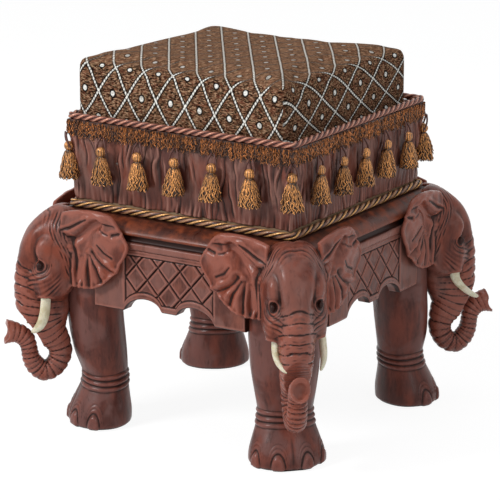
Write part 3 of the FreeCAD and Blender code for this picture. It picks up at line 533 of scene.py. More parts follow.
def wall_relief(along, height, seed):
    """Cloth cast in the wall: soft undulations, slanting creases that taper, ruffles at the foot."""
    shape = (len(height), len(along))
    h, a = np.meshgrid(height, along, indexing="ij")
    relief = 1.5 * smooth_noise(shape, (60, 21), seed) + 1.1 * smooth_noise(shape, (44, 8), seed + 1)
    relief += 0.5 * smooth_noise(shape, (16, 5), seed + 2)
    sway = 4.0 * smooth_noise(shape, (26, 30), seed + 3) + 1.5 * smooth_noise(shape, (11, 14), seed + 4)
    rng = np.random.default_rng(seed + 5)
    for place in np.arange(-172.0, 172.0, 5.6):
        middle, reach = rng.uniform(-6, 103), rng.uniform(14, 42)
        off = a + sway - place - rng.uniform(-4, 4) - rng.uniform(-0.22, 0.22) * (h - middle)
        taper = np.clip(1 - ((h - middle) / reach) ** 2, 0, 1) * rng.uniform(0.6, 1.25)
        side = rng.choice([-1.0, 1.0])
        relief += taper * (1.25 * np.exp(-(((side * off - 3.0) / 2.3) ** 2)) - 1.35 * np.exp(-((off / 1.05) ** 2)))
    foot = 0.5 + 0.5 * np.sin(2 * np.pi * (a + 0.7 * sway) / 7.0 + 3.0 * smooth_noise(shape, (60, 30), seed + 6))
    return relief + 0.9 * foot * ease(32, 3, h)


def make_wall(side, seed):
    along = np.linspace(-WALL_TOP, WALL_TOP, 313)
    height = np.linspace(0, BOX_TOP - DECK_TOP, 99)
    relief = wall_relief(along, height, seed)
    relief = relief - relief.mean() - 1.0
    hollow = np.clip((relief - blurred(relief, 30)) / 1.15, -1, 1)
    half = WALL_LOW + (WALL_TOP - WALL_LOW) * height / height[-1]
    share = along / WALL_TOP
    x = share[None, :] * half[:, None]
    y = -(half[:, None] + np.clip(relief, -4.2, 1.7))
    z = np.broadcast_to(DECK_TOP + height[:, None], x.shape)
    outer = np.stack([x, y, z], -1)
    inner_x = share * WALL_IN
    rows = [outer]
    for level in (BOX_TOP, BOX_TOP - 30.0, DECK_TOP + 30.0, DECK_TOP):
        rows.append(flat_row(inner_x, -WALL_IN, level))
    points = np.concatenate(rows)
    cavity = np.concatenate([hollow, np.zeros((4, len(along)))])
    points, cavity = with_ends(points, cavity, -WALL_IN)
    count, columns = points.shape[:2]
    faces = grid_faces(count, columns, wrap_rows=True)
    mesh = mesh_of("wall_" + side, points.reshape(-1, 3), faces, layers={"cavity": cavity})
    show("pleated_wall_" + side, mesh, pleats, "pleated_wall", "wall_" + side, turn=SIDES[side])


for number, side_name in enumerate(SIDES):
    make_wall(side_name, 11 + 7 * number)


# Ropes


def rope_path(half, bend, step):
    """Points and outward directions round a square loop with short bends, starting mid side."""
    straight = np.arange(-(half - bend), half - bend, step)
    points, outward = [], []
    for quarter in range(4):
        angle = math.radians(90 * quarter)
        turn = np.array([[math.cos(angle), -math.sin(angle)], [math.sin(angle), math.cos(angle)]])
        side = np.stack([straight, np.full_like(straight, -half)], -1)
        normal = np.tile([0.0, -1.0], (len(side), 1))
        arc = np.radians(np.linspace(-90, 0, max(4, int(bend * 1.57 / step) + 1))[:-1])
        corner = np.stack([half - bend + bend * np.cos(arc), -(half - bend) + bend * np.sin(arc)], -1)
        points.append(np.concatenate([side, corner]) @ turn.T)
        outward.append(np.concatenate([normal, np.stack([np.cos(arc), np.sin(arc)], -1)]) @ turn.T)
    return np.concatenate(points), np.concatenate(outward)


def make_rope(name, half, radius, height, spacing, look, strands=4, columns=10):
    """Strands wound into a closed rope; of four, every other one is thinner."""
    path, outward = rope_path(half, radius + 0.6, 1.5)
    gap = np.linalg.norm(np.roll(path, -1, 0) - path, axis=1)
    length = np.r_[0, np.cumsum(gap)[:-1]]
    total = gap.sum()
    turns = round(total / (spacing * strands))
    phase = 2 * np.pi * turns * length / total
    centre = np.concatenate([path, np.full((len(path), 1), height)], 1)
    out3 = np.concatenate([outward, np.zeros((len(path), 1))], 1)
    up3 = np.tile([0.0, 0.0, 1.0], (len(path), 1))
    parts = []
    for strand in range(strands):
        thick = ((0.55, 0.36)[strand % 2] if strands == 4 else 0.52) * radius
        offset = radius - thick
        angle = phase + 2 * np.pi * strand / strands
        away = out3 * np.cos(angle)[:, None] + up3 * np.sin(angle)[:, None]
        line = centre + offset * away
        tangent = np.roll(line, -1, 0) - np.roll(line, 1, 0)
        tangent /= np.linalg.norm(tangent, axis=1)[:, None]
        across = np.cross(tangent, away)
        theta = np.arange(columns) * 2 * np.pi / columns
        ring = away[:, None] * np.cos(theta)[None, :, None] + across[:, None] * np.sin(theta)[None, :, None]
        points = (line[:, None] + ring * thick).reshape(-1, 3)
        layers = {
            "along": np.repeat(length, columns),
            "around": np.tile(theta, len(path)),
            # The ridge layer, 1 on each strand's outer crest, carries the painted highlight and shade.
            "ridge": np.tile(np.cos(theta), len(path)),
            "strand": np.full(len(points), float(strand % 2 if strands == 4 else 1)),
        }
        parts.append((points, grid_faces(len(path), columns, True, True), layers))
    points, faces, layers = joined(parts)
    show(name + "_strands", mesh_of(name, points, faces, layers=layers), look, "rope_trim", name)


make_rope("lower_rope", 154.8, 4.5, 279.2, 13.6, lower_rope_look)
make_rope("upper_rope", 155.2, 4.0, 386.3, 12.2, upper_rope_look, strands=3)


# Fringe


def wall_half_at(level):
    return WALL_LOW + (WALL_TOP - WALL_LOW) * (level - DECK_TOP) / (BOX_TOP - DECK_TOP)


def curl(start, length, sway, seed, radius, drift):
    """A wavy strand that hangs from its start, in a side's own frame, x along and -y outward."""
    rng = np.random.default_rng(seed)
    t = np.linspace(0, 1, 10)
    phase = rng.uniform(0, 2 * np.pi)
    waves = rng.uniform(1.2, 2.9)
    x = start[0] + drift * t + sway * np.sin(phase + waves * 2 * np.pi * t) * (0.3 + t)
    out = start[1] + 0.5 * sway * np.cos(phase * 2 + waves * 2 * np.pi * t)
    z = start[2] - length * t
    path = np.stack([x, out, z], -1)
    points, faces = tube(path, radius * (1 - 0.35 * t), 6, up=(0, -1, 0))
    # The ridge layer paints highlight on the strands' outward side and shade on their inward side, offset at random per
    # strand.
    ridge = np.clip((start[1] - points[:, 1]) / radius + 0.25, -1, 1)
    return points, faces, {"ridge": 0.5 + 0.5 * ridge + rng.uniform(-0.45, 0.30)}


def make_fringe():
    parts = []
    top = BOX_TOP
    seed = 1000
    for side, angle in SIDES.items():
        turn = np.array(Matrix.Rotation(math.radians(angle), 3, "Z"))
        rng = np.random.default_rng(400 + int(angle))
        columns = np.arange(-157.5, 157.6, 1.75)
        group = []
        # A backing strip behind the strands, then the strands in three layers.
        along = np.linspace(-157.0, 157.0, 158)
        levels = np.array([top, 374.0, 368.0, 364.0])
        x = np.broadcast_to(along, (4, 158)) * (np.array([157.6, 157.4, 157.2, 157.0]) / 157.0)[:, None]
        y = -(wall_half_at(levels)[:, None] + 1.1 + 0.35 * np.sin(along * 3.1)[None, :])
        z = levels[:, None] - 1.2 * np.abs(np.sin(along * 0.9))[None, :] * np.array([0, 0, 1, 1.8])[:, None]
        strip = np.stack([x, y, z], -1).reshape(-1, 3)
        back = strip.copy()
        back[:, 1] += 1.2
        faces = np.concatenate([grid_faces(4, 158), grid_faces(4, 158, start=632)[:, ::-1]])
        group.append((np.concatenate([strip, back]), faces, {"ridge": np.full(1264, 0.15)}))
        for layer, (sway, radius, reach) in enumerate(((0.9, 0.68, 1.2), (1.3, 0.60, 1.8), (1.7, 0.56, 2.3))):
            for place in columns + layer * 0.6:
                seed += 1
                if rng.uniform() < 0.10 + 0.14 * layer:
                    continue
                # The strands end in uneven tufts.
                tuft = abs(math.cos(math.pi * (place + 2.0 * math.sin(place * 0.13)) / 10.8)) ** 0.8
                length = 14.0 + 6.5 * tuft + rng.uniform(-2.0, 2.6)
                length -= 5.0 if layer == 2 and rng.uniform() < 0.5 else 0.0
                start = (place + rng.uniform(-0.5, 0.5), -(wall_half_at(top - 3) + reach), top - 0.6 - 2.0 * layer)
                if abs(start[0]) < 157.6:
                    group.append(curl(start, length - 2.0 * layer, sway, seed, radius, rng.uniform(-1.2, 1.2)))
        points, faces, layers = joined(group)
        parts.append((points @ turn.T, faces, layers))
    points, faces, layers = joined(parts)
    points[:, 2] = np.maximum(points[:, 2], FRINGE_LOW)
    mesh = mesh_of("fringe_strands", points, faces, layers=layers)
    show("fringe_strands", mesh, fringe_gilt, "fringe_trim", "fringe")


make_fringe()


# Tassels


def revolve(profile, columns, ripple=0.0, ripple_count=0):
    """A profile of (radius, height) turned about the z axis, with ripples round it."""
    profile = np.asarray(profile, float)
    angle = np.arange(columns) * 2 * np.pi / columns
    crest = np.cos(ripple_count * angle) if ripple_count else np.zeros(columns)
    radius = profile[:, :1] + np.multiply.outer(np.broadcast_to(ripple, len(profile)), crest)
    points = np.stack(np.broadcast_arrays(radius * np.cos(angle), radius * np.sin(angle), profile[:, 1:]), -1)
    faces = np.concatenate([grid_faces(len(profile), columns, wrap_columns=True), capped_ends(len(profile), columns)])
    return points.reshape(-1, 3), faces, {"ridge": 0.45 + 0.4 * np.tile(crest, len(profile))}


def tassel_parts(seed, depth=0.78):
    """One tassel on the z axis, foot at 0: knob, neck, core and three layers of wavy strands."""
    rng = np.random.default_rng(seed)
    parts = []
    turns = np.linspace(-np.pi / 2, np.pi / 2, 15)
    knob = [(6.1 * math.cos(t) + 0.05, 39.9 + 6.0 * math.sin(t)) for t in turns]
    p, f, l = revolve(knob, 40, 0.45 * np.cos(turns), 10)
    l["ridge"] = 0.86 + 0.6 * (l["ridge"] - 0.45)
    parts.append((p, f, l))
    neck = [(3.0, 31.0), (4.1, 32.0), (4.4, 33.2), (3.6, 34.4), (3.0, 35.5)]
    parts.append(revolve(neck, 24, 0.3, 12))
    core = [(11.6, 2.6), (11.8, 5.0), (10.4, 13.0), (8.4, 21.0), (6.2, 28.0), (3.0, 33.0)]
    p, f, l = revolve(core, 28)
    # Painted shade: the core among the strands is dark.
    l["ridge"] = np.full(len(p), 0.0)
    parts.append((p, f, l))
    lean = rng.uniform(-0.09, 0.09)
    for layer, (count, base, radius) in enumerate(((24, 0.88, 0.95), (25, 0.96, 0.84), (24, 1.02, 0.80))):
        for index in range(count):
            angle = 2 * np.pi * (index + 0.4 * layer + rng.uniform(-0.3, 0.3)) / count
            t = np.linspace(0, 1, 16)
            spread = 4.6 + (13.4 * base - 4.6) * t**0.68 + rng.uniform(-0.4, 0.4)
            phase, waves = rng.uniform(0, 6.28), rng.uniform(2.2, 4.2)
            swing = angle + 0.15 * np.sin(phase + waves * 2 * np.pi * t) * (0.4 + 0.6 * t)
            spread = spread + 0.6 * np.cos(phase + waves * 2 * np.pi * t) * t
            low = rng.uniform(0.3, 2.6) + (rng.uniform(2, 10) if layer == 2 and rng.uniform() < 0.35 else 0.0)
            z = 33.4 - (33.4 - low) * t
            path = np.stack([spread * np.cos(swing), spread * np.sin(swing), z], -1)
            thick = radius * (0.85 + 0.2 * np.sin(np.pi * t))
            p, f = tube(path, thick, 6, up=(math.cos(angle), math.sin(angle), 0.0))
            out = np.repeat(path[:, :2], 6, 0)
            facing = ((p[:, :2] - out) * [math.cos(angle), math.sin(angle)]).sum(1) / np.repeat(thick, 6)
            # Painted highlight on the strands' outer faces; painted shade on the inner layers, which are darker.
            ridge = 0.32 + 0.60 * facing + (-0.30, -0.02, 0.14)[layer] + rng.uniform(-0.12, 0.12)
            parts.append((p, f, {"ridge": ridge}))
    points, faces, layers = joined(parts)
    points[:, 1] *= depth
    points[:, 0] -= lean * np.clip(34.0 - points[:, 2], 0, 34)
    return points, faces, layers


def hanging_cords(reach, top_reach):
    """Two cords that come down from the fringe and clasp the knob in a V."""
    parts = []
    for side in (-1, 1):
        t = np.linspace(0, 1, 10)[:, None]
        start = np.array([side * 1.6, -top_reach, 366.0])
        end = np.array([side * 6.5, -(reach - 1.0), 347.5])
        path = start + (end - start) * t
        path[:, 0] += side * 1.6 * np.sin(np.pi * t[:, 0])
        path[:, 1:2] -= 1.5 * np.sin(np.pi * t)
        p, f = tube(path, 1.2, 8, up=(0, -1, 0))
        parts.append((p, f, {"ridge": np.full(len(p), -2.0)}))
    return parts


def make_tassel_row(side, angle):
    reach = wall_half_at(TASSEL_FOOT) + 0.3 + 14.0 * 0.78
    group = []
    for step in range(-2, 3):
        p, f, l = tassel_parts(50 + step + int(angle))
        group.append((p + [step * TASSEL_PITCH, -reach, TASSEL_FOOT], f, l))
        group += [(p + [step * TASSEL_PITCH, 0, 0], f, l) for p, f, l in hanging_cords(reach, 160.4)]
    points, faces, layers = joined(group)
    name = "tassels_" + side
    show(name + "_strands", mesh_of(name, points, faces, layers=layers), gilt, "gilt_trim", name, turn=angle)


def make_corner_tassels():
    name = "tassels_corners"
    parts = []
    for index, angle in enumerate(CORNERS.values()):
        p, f, l = tassel_parts(90 + index, 0.9)
        group = [(p + [0, -CORNER_TASSEL_OUT, TASSEL_FOOT], f, l)] + hanging_cords(CORNER_TASSEL_OUT, 224.6)
        turn = np.array(Matrix.Rotation(math.radians(angle + 90.0), 3, "Z"))
        parts += [(p @ turn.T, f, l) for p, f, l in group]
    points, faces, layers = joined(parts)
    show(name + "_strands", mesh_of(name, points, faces, layers=layers), gilt, "gilt_trim", name)


for side_name, side_angle in SIDES.items():
    make_tassel_row(side_name, side_angle)
make_corner_tassels()


# Aprons


def apron_bottom(x):
    """The scalloped lower edge: two arches between end blocks, with a drop in the middle."""
    x = np.abs(x)
    block, middle, crown = 163.0, 168.0, 180.4
    inner, outer = 11.0, 64.0
    part = np.clip((x - inner) / (outer - inner), 0, 1)
    rise = (crown - 0.5 * (block + middle)) * (1 - (2 * part - 1) ** 2) ** 0.62
    arch = middle + (block - middle) * part + rise
    return np.where(x < inner, middle, np.where(x < outer, arch, block))


def groove(distance, width, depth):
    return -depth * np.exp(-((distance / width) ** 2))


def make_apron(side, angle):
    along = np.linspace(-APRON_HALF, APRON_HALF, 306)
    low = apron_bottom(along)
    low = np.convolve(np.pad(low, 2, "edge"), [0.1, 0.2, 0.4, 0.2, 0.1], "valid")
    share = np.linspace(0, 1, 108)
    z = low[None, :] + (LEG_TOP - low)[None, :] * share[:, None]
    x = np.broadcast_to(along, z.shape)
    border, top_gap, end_gap = z - low[None, :], LEG_TOP - z, APRON_HALF - np.abs(x)
    inside = np.minimum(np.minimum(border - 8.5, top_gap - 7.5), 62.0 - np.abs(x))

    # The lattice: how far each point is from the nearest line of either family.
    wide, tall = 31.0, 34.5
    u = (x / wide + (z - 205.0) / tall) % 1.0
    v = (x / wide - (z - 205.0) / tall) % 1.0
    near = np.minimum(np.minimum(u, 1 - u), np.minimum(v, 1 - v)) / math.hypot(1 / wide, 1 / tall)
    panel = ease(-0.3, 1.2, inside)
    relief = panel * (-1.2 + groove(near, 1.0, 2.2) + 0.5 * np.exp(-(((near - 2.6) / 0.9) ** 2)))
    relief += groove(inside, 0.9, 1.8)
    relief += -1.6 * np.clip(1 - border / 2.2, 0, 1) ** 2 - 1.2 * np.clip(1 - top_gap / 1.8, 0, 1) ** 2
    relief += -1.4 * np.clip(1 - end_gap / 1.8, 0, 1) ** 2
    relief += 0.35 * smooth_noise(x.shape, (24, 30), 5 + int(angle))
    hollow = np.clip((relief - blurred(relief, 14)) / 0.75, -1, 1)
    points = np.concatenate([
        np.stack([x, -(BASE_HALF + relief), z], -1),
        flat_row(along, APRON_BACK, LEG_TOP), flat_row(along, APRON_BACK, low), flat_row(along, -170.0, low),
    ])
    points, cavity = with_ends(points, np.concatenate([hollow, np.zeros((3, len(along)))]), APRON_BACK)
    faces = grid_faces(points.shape[0], points.shape[1], wrap_rows=True)
    mesh = mesh_of("apron_" + side, points.reshape(-1, 3), faces, layers={"cavity": cavity})
    show("carved_apron_" + side, mesh, apron_wood, "carved_wood", "apron_" + side, turn=angle)


for side_name, side_angle in SIDES.items():
    make_apron(side_name, side_angle)


# Mouldings


def swept_square(profile, trim):
    """A profile of (half width, height) run round a square whose corners are trimmed."""
    cut = trim * math.sqrt(2)
    rows = []
    for half, height in profile:
        limit = min(cut - half, half)
        x = np.concatenate([np.linspace(-limit, limit, 45), np.linspace(limit, half, 8)[1:-1]])
        y = np.concatenate([np.full(45, -half), -np.linspace(half, limit, 8)[1:-1]])
        ring = []
        for quarter in range(4):
            c, s = math.cos(math.radians(90 * quarter)), math.sin(math.radians(90 * quarter))
            ring.append(np.stack([x * c - y * s, x * s + y * c, np.full_like(x, height)], -1))
        rows.append(np.concatenate(ring))
    return np.stack(rows)


def make_moulding(name, profile, look, slot, node, hollow):
    points = swept_square(profile, HEAD_BACK)
    rows, columns = points.shape[:2]
    # Each profile row's hollow value paints highlight on the rounds and shade in the grooves, varied a little at
    # random.
    cavity = np.repeat(np.asarray(hollow, float), columns)
    cavity += 0.12 * smooth_noise((rows, columns), (6, 9), 77).ravel()
    faces = grid_faces(rows, columns, wrap_rows=True, wrap_columns=True)
    mesh = mesh_of(name, points.reshape(-1, 3), faces, layers={"cavity": cavity})
    show(name, mesh, look, slot, node)


make_moulding(
    "band_and_groove",
    [(115, 240), (150, 240), (177.0, 240), (179.6, 240.3), (180.8, 241.4), (181, 243.0), (181, 246.0), (180.7, 247.8),
     (179.4, 248.8), (177.6, 249.1), (176.0, 249.8), (175.2, 251.2), (175, 253.0), (175.2, 255.2), (175.8, 256.6),
     (176.5, 257), (150, 257), (115, 257)],
    apron_wood, "carved_wood", "base_moulding",
    [0, 0, 0, 0.1, 0.25, 0.3, 0.3, 0.25, 0.0, -0.3, -0.6, -0.8, -0.9, -0.9, -0.8, -0.6, 0, 0],
)
# The frieze's top rows, under the lower rope, carry painted shade; the round at its foot carries painted highlight.
make_moulding(
    "frieze_board",
    [(115, 257), (150, 257), (178.6, 257), (179.8, 257.4), (180, 258.6), (179.0, 260.6), (176.6, 263.6), (173.2, 266.6),
     (169.2, 269.4), (165.0, 271.8), (161.6, 273.6), (159.6, 274.4), (140, 274.4), (115, 274.4)],
    frieze_wood, "frieze_wood", "frieze",
    [0, 0, -0.2, 0.2, 0.35, 0.3, 0.15, 0.1, 0.05, 0, -0.15, -0.5, 0, 0],
)


# Elephants: signed distances on a block of points, meshed and mirrored across y = 0

VOXEL = 1.0


def union(a, b, blend):
    part = np.maximum(blend - np.abs(a - b), 0) / blend
    return np.minimum(a, b) - part * part * blend * 0.25


def carve(a, b, blend):
    return -union(-a, b, blend)


def rounded(x, y, z, centre, radii, power=2.0):
    """Distance to an ellipsoid; a higher power keeps it broad in y up to its rim."""
    px, py, pz = ((v - c) / r for v, c, r in zip((x, y, z), centre, radii))
    ring = np.sqrt(px**2 + pz**2) + 1e-6
    size = (ring**power + np.abs(py) ** power) ** (1 / power)
    slope_ring = (ring / size) ** (power - 1) * np.sqrt((px / radii[0]) ** 2 + (pz / radii[2]) ** 2) / ring
    slope_y = (np.abs(py) / size) ** (power - 1) / radii[1]
    return (size - 1) / np.sqrt(slope_ring**2 + slope_y**2 + 1e-9)


def spline(table, count):
    """Catmull-Rom through the rows of a table, evenly spaced by row."""
    table = np.asarray(table, float)
    padded = np.concatenate([2 * table[:1] - table[1:2], table, 2 * table[-1:] - table[-2:-1]])
    t = np.linspace(0, len(table) - 1 - 1e-9, count)
    i = t.astype(int)
    f = (t - i)[:, None]
    p0, p1, p2, p3 = padded[i], padded[i + 1], padded[i + 2], padded[i + 3]
    square, cube = 2 * p0 - 5 * p1 + 4 * p2 - p3, 3 * p1 - p0 - 3 * p2 + p3
    return 0.5 * (2 * p1 + (p2 - p0) * f + square * f**2 + cube * f**3)


def line_gap(s, z, a, b):
    """Squared distance from each point of a block to the line from a to b."""
    (ax, az), (bx, bz) = a, b
    ex, ez = bx - ax, bz - az
    t = np.clip(((s - ax) * ex + (z - az) * ez) / (ex * ex + ez * ez + 1e-12), 0, 1)
    return (s - ax - t * ex) ** 2 + (z - az - t * ez) ** 2


def near_line(s, z, line):
    """Distance from each point of a block to an open line of points."""
    best = np.full(np.broadcast(s, z).shape, 1e9)
    for a, b in zip(line[:-1], line[1:]):
        best = np.minimum(best, line_gap(s, z, a, b))
    return np.sqrt(best)


def mound(s, z, middle_s, middle_z, wide, tall):
    return np.exp(-(((s - middle_s) / wide) ** 2) - ((z - middle_z) / tall) ** 2)


def notch(distance, width):
    return np.exp(-((distance / width) ** 2))


# The trunk's middle line: outward, up, half thickness, half width.
TRUNK = [
    (256.0, 214.0, 27.0, 17.0),
    (259.5, 198.0, 29.0, 18.6),
    (261.0, 182.0, 29.5, 19.8),
    (260.8, 166.0, 29.5, 21.0),
    (259.5, 150.0, 28.6, 20.4),
    (256.5, 134.0, 26.0, 19.0),
    (248.5, 119.5, 20.5, 17.4),
    (240.0, 106.5, 15.8, 15.6),
    (236.2, 94.5, 14.2, 14.6),
    (238.5, 82.5, 13.2, 13.8),
    (246.5, 72.6, 12.6, 13.2),
    (257.0, 69.6, 12.4, 12.6),
    (266.5, 76.5, 12.0, 12.0),
    (272.4, 87.0, 10.6, 11.6),
    (274.6, 98.5, 9.8, 11.2),
    (277.4, 109.0, 10.6, 11.0),
    (284.4, 117.0, 11.2, 11.2),
    (293.5, 121.0, 12.4, 11.6),
    (302.5, 122.3, 15.4, 12.4),
]

# The ear's outline: along the stool's side and up, from the root's top round by the tip.
EAR = [
    (-8, 275), (4, 278.5), (20, 281.4), (40, 282.6), (56, 281), (66, 276.5), (74, 267), (82, 254.5), (87, 246),
    (86, 238), (81, 229), (75, 220.5), (72, 211.5), (64, 205.5), (55, 197.5), (46, 190.5), (33, 185.4), (18, 184.2),
    (4, 184), (-8, 186),
]

# Creases of the ear, each as width, depth and its line.
EAR_CREASES = [
    (2.6, 4.2, [(-8, 247), (0, 243.5), (8, 244.5), (18, 250), (27, 258), (35, 265), (44, 267.5)]),
    (1.2, 1.7, [(-6, 254.5), (6, 258.5), (18, 265), (30, 271.5)]),
    (1.5, 2.2, [(66, 256.5), (73, 258.5), (82, 262)]),
    (2.2, 3.6, [(35, 231), (40, 224), (48, 217.5), (60, 211), (73, 205)]),
    (2.0, 3.2, [(31, 226), (36, 218), (42, 210), (47, 196)]),
    (1.8, 2.8, [(26.5, 226), (27.6, 208), (29.5, 184)]),
    (1.6, 2.4, [(18.5, 222), (17.4, 204), (18.6, 184)]),
    (2.0, 3.4, [(6, 243), (10, 231), (12, 217), (10.3, 201), (11, 184)]),
    (1.3, 1.8, [(5, 226), (3.5, 205), (4, 184)]),
    (1.0, 1.0, [(45, 242), (53, 233), (64, 228)]),
    (0.9, 0.8, [(46, 262), (54, 257), (60, 256)]),
]

# The valley that runs down the ear, and the swellings beside it.
EAR_VALLEY = [(44, 266), (35, 257), (28, 246), (22, 231), (17, 214), (14, 196)]
EAR_SWELLS = [
    (60, 246, 21, 17, 3.6), (43, 244, 8, 13, 1.8), (57, 221, 10, 4.5, 2.6), (66, 214, 9, 3, 1.2),
    (47, 208, 6, 7, 2.6), (36, 203, 4.5, 13, 2.6), (23, 205, 3.5, 17, 2.2), (14, 203, 2.6, 17, 1.8),
    (7, 205, 2.4, 17, 1.4), (10, 234, 8, 9, 1.6),
]

# Painted highlights of the ear: paler places on the lobes and the top roll, where the light falls.
EAR_PAINTED_HIGHLIGHTS = [
    (60, 248, 17, 13, 0.55), (52, 222, 12, 8, 0.40), (28, 276, 34, 5, 0.45), (40, 205, 7, 12, 0.35),
    (8, 238, 8, 8, 0.25),
]


def ear_relief(s, z):
    """How far the ear's face stands out, over the block of (along, up), and its painted shading: painted shade in the
    valley and creases, painted highlight on the lobes.
    """
    under = np.interp(s, [-8, 0, 8, 18, 27, 35, 44, 66], [250, 246.5, 247, 252.5, 260.5, 267.5, 270, 268])
    over = np.interp(s, [-8, 4, 20, 40, 56, 66, 74], [275, 278.5, 281.4, 282.6, 281, 276.5, 267])
    across = (z - 0.5 * (under + over)) / np.maximum(0.5 * (over - under), 2.0)
    roll = 4.6 * np.sqrt(np.clip(1.02 - across**2, 0, 1)) * ease(76, 54, s)
    face = 4.2 + roll
    face -= 4.6 * notch(near_line(s, z, EAR_VALLEY), 5.6)
    for *place, height in EAR_SWELLS:
        face += height * mound(s, z, *place)
    # Painted shade in the valley.
    painted_shading_and_marks = 0.55 * notch(near_line(s, z, EAR_VALLEY), 4.2)
    for width, depth, line in EAR_CREASES:
        off = near_line(s, z, line)
        face -= depth * (0.55 * notch(off, width * 2.0) + 0.45 * notch(off, width * 0.8))
        face += 0.30 * depth * notch(off - width * 3.2, width * 1.4)
        # Painted shade in each crease.
        painted_shading_and_marks = np.maximum(painted_shading_and_marks, min(0.62, 0.20 + depth * 0.13) * notch(off, width * 1.2))
    rim = ease(5.0, 0.5, ear_edge(s, z)) * ease(4, 18, s)
    face += 0.5 * np.sin(s * 0.31 + 1.3 * np.sin(z * 0.11)) * np.sin(z * 0.19 + 0.8)
    for *place, light in EAR_PAINTED_HIGHLIGHTS:
        painted_shading_and_marks = painted_shading_and_marks - light * mound(s, z, *place)
    return np.maximum(face + 1.2 * rim, 0.6), painted_shading_and_marks


def polygon_distance(s, z, outline):
    """Distance inside (positive) or outside (negative) a closed outline."""
    inside = np.zeros(s.shape, bool)
    best = np.full(s.shape, 1e9)
    count = len(outline)
    for i in range(count):
        (ax, az), (bx, bz) = a, b = outline[i], outline[(i + 1) % count]
        best = np.minimum(best, line_gap(s, z, a, b))
        rise = bz - az
        crosses = ((az > z) != (bz > z)) & (s < (bx - ax) * (z - az) / (rise + 1e-12 * (rise == 0)) + ax)
        inside ^= crosses
    return np.where(inside, 1, -1) * np.sqrt(best)


EAR_OUTLINE = spline(EAR + EAR[:1], 160)[:-1]


def ear_edge(s, z):
    return polygon_distance(s, z, EAR_OUTLINE)


def sampled(field, points):
    """A block's values at fractional places in it."""
    top = np.array(field.shape) - 2
    base = np.clip(np.floor(points).astype(int), 0, top)
    part = np.clip(points - base, 0, 1)
    total = 0.0
    for corner in range(8):
        step = np.array([corner & 1, corner >> 1 & 1, corner >> 2 & 1])
        weight = np.prod(np.where(step, part, 1 - part), axis=1)
        at = base + step
        total = total + weight * field[at[:, 0], at[:, 1], at[:, 2]]
    return total


def trunk_field(xs, y, zs):
    """The trunk lies in the plane y = 0, so its middle line is followed in that plane alone."""
    line = spline(TRUNK, 420)
    gx, gz = np.meshgrid(xs, zs, indexing="ij")
    length = np.r_[0, np.cumsum(np.hypot(np.diff(line[:, 0]), np.diff(line[:, 1])))]
    best = np.full(gx.shape, 1e9)
    index = np.zeros(gx.shape, int)
    for i in range(len(line)):
        d = (gx - line[i, 0]) ** 2 + (gz - line[i, 1]) ** 2
        closer = d < best
        best[closer] = d[closer]
        index[closer] = i
    off = np.sqrt(best)
    along = length[index]
    thick, wide = line[index, 2], line[index, 3]
    tangent = np.gradient(line[:, :2], axis=0)
    ends = (gx - line[index, 0]) * tangent[index, 0] + (gz - line[index, 1]) * tangent[index, 1]
    past = np.maximum(ends * (index == len(line) - 1), 0) / np.linalg.norm(tangent[-1])
    upper = ease(120, 70, along)
    power = (2.05 + 0.15 * upper)[:, None, :]
    ratio = ((off / thick)[:, None, :] ** power + (np.abs(y) / wide[:, None, :]) ** power) ** (1 / power)
    trunk = (ratio - 1) * (0.5 * (thick + wide) * 0.9)[:, None, :]

    # Ribs ring it, closer together towards the tip; on the upper part each also has finer lines.
    pitch = 10.4 - 4.6 * ease(70, 190, length)
    count = np.interp(along, length, np.r_[0, np.cumsum(np.diff(length) / pitch[:-1])])
    back = np.clip(288.0 - gx, 0, 60) * 0.20 * upper
    droop = (back[:, None, :] + (2.4 * upper)[:, None, :] * (y / 22.0) ** 2) / 10.4
    bend = 0.07 * np.sin(y * 0.21 + along[:, None, :] * 0.13) + 0.06 * np.sin(along * 0.9)[:, None, :]
    place = count[:, None, :] - droop + bend
    gap = np.abs(place - np.round(place))
    fine = np.abs(place * 3 - np.round(place * 3))
    zone = (ease(4, 10, along) * ease(length[-1] + 1, length[-1] - 8, along))[:, None, :]
    swell = np.sqrt(np.clip(1 - (1 - 2 * gap) ** 2, 0, 1))
    cut = notch(gap, 0.085) * zone
    thin = notch(fine, 0.26) * zone * (0.50 * upper + 0.12)[:, None, :]
    thin = thin * (0.6 + 0.4 * np.sin(y * 0.5 + along[:, None, :] * 0.31))
    deep = (2.3 * (1 - swell) + 0.1) * zone * (0.75 + 0.25 * np.sin(along * 0.37 + 1))[:, None, :]
    trunk = trunk + deep + 0.60 * thin - 0.75 * zone
    trunk = np.maximum(trunk, past[:, None, :] - 0.6)
    # The second value is painted shade in the rib grooves and their finer lines.
    return trunk, np.maximum(0.70 * cut, thin * 0.60)


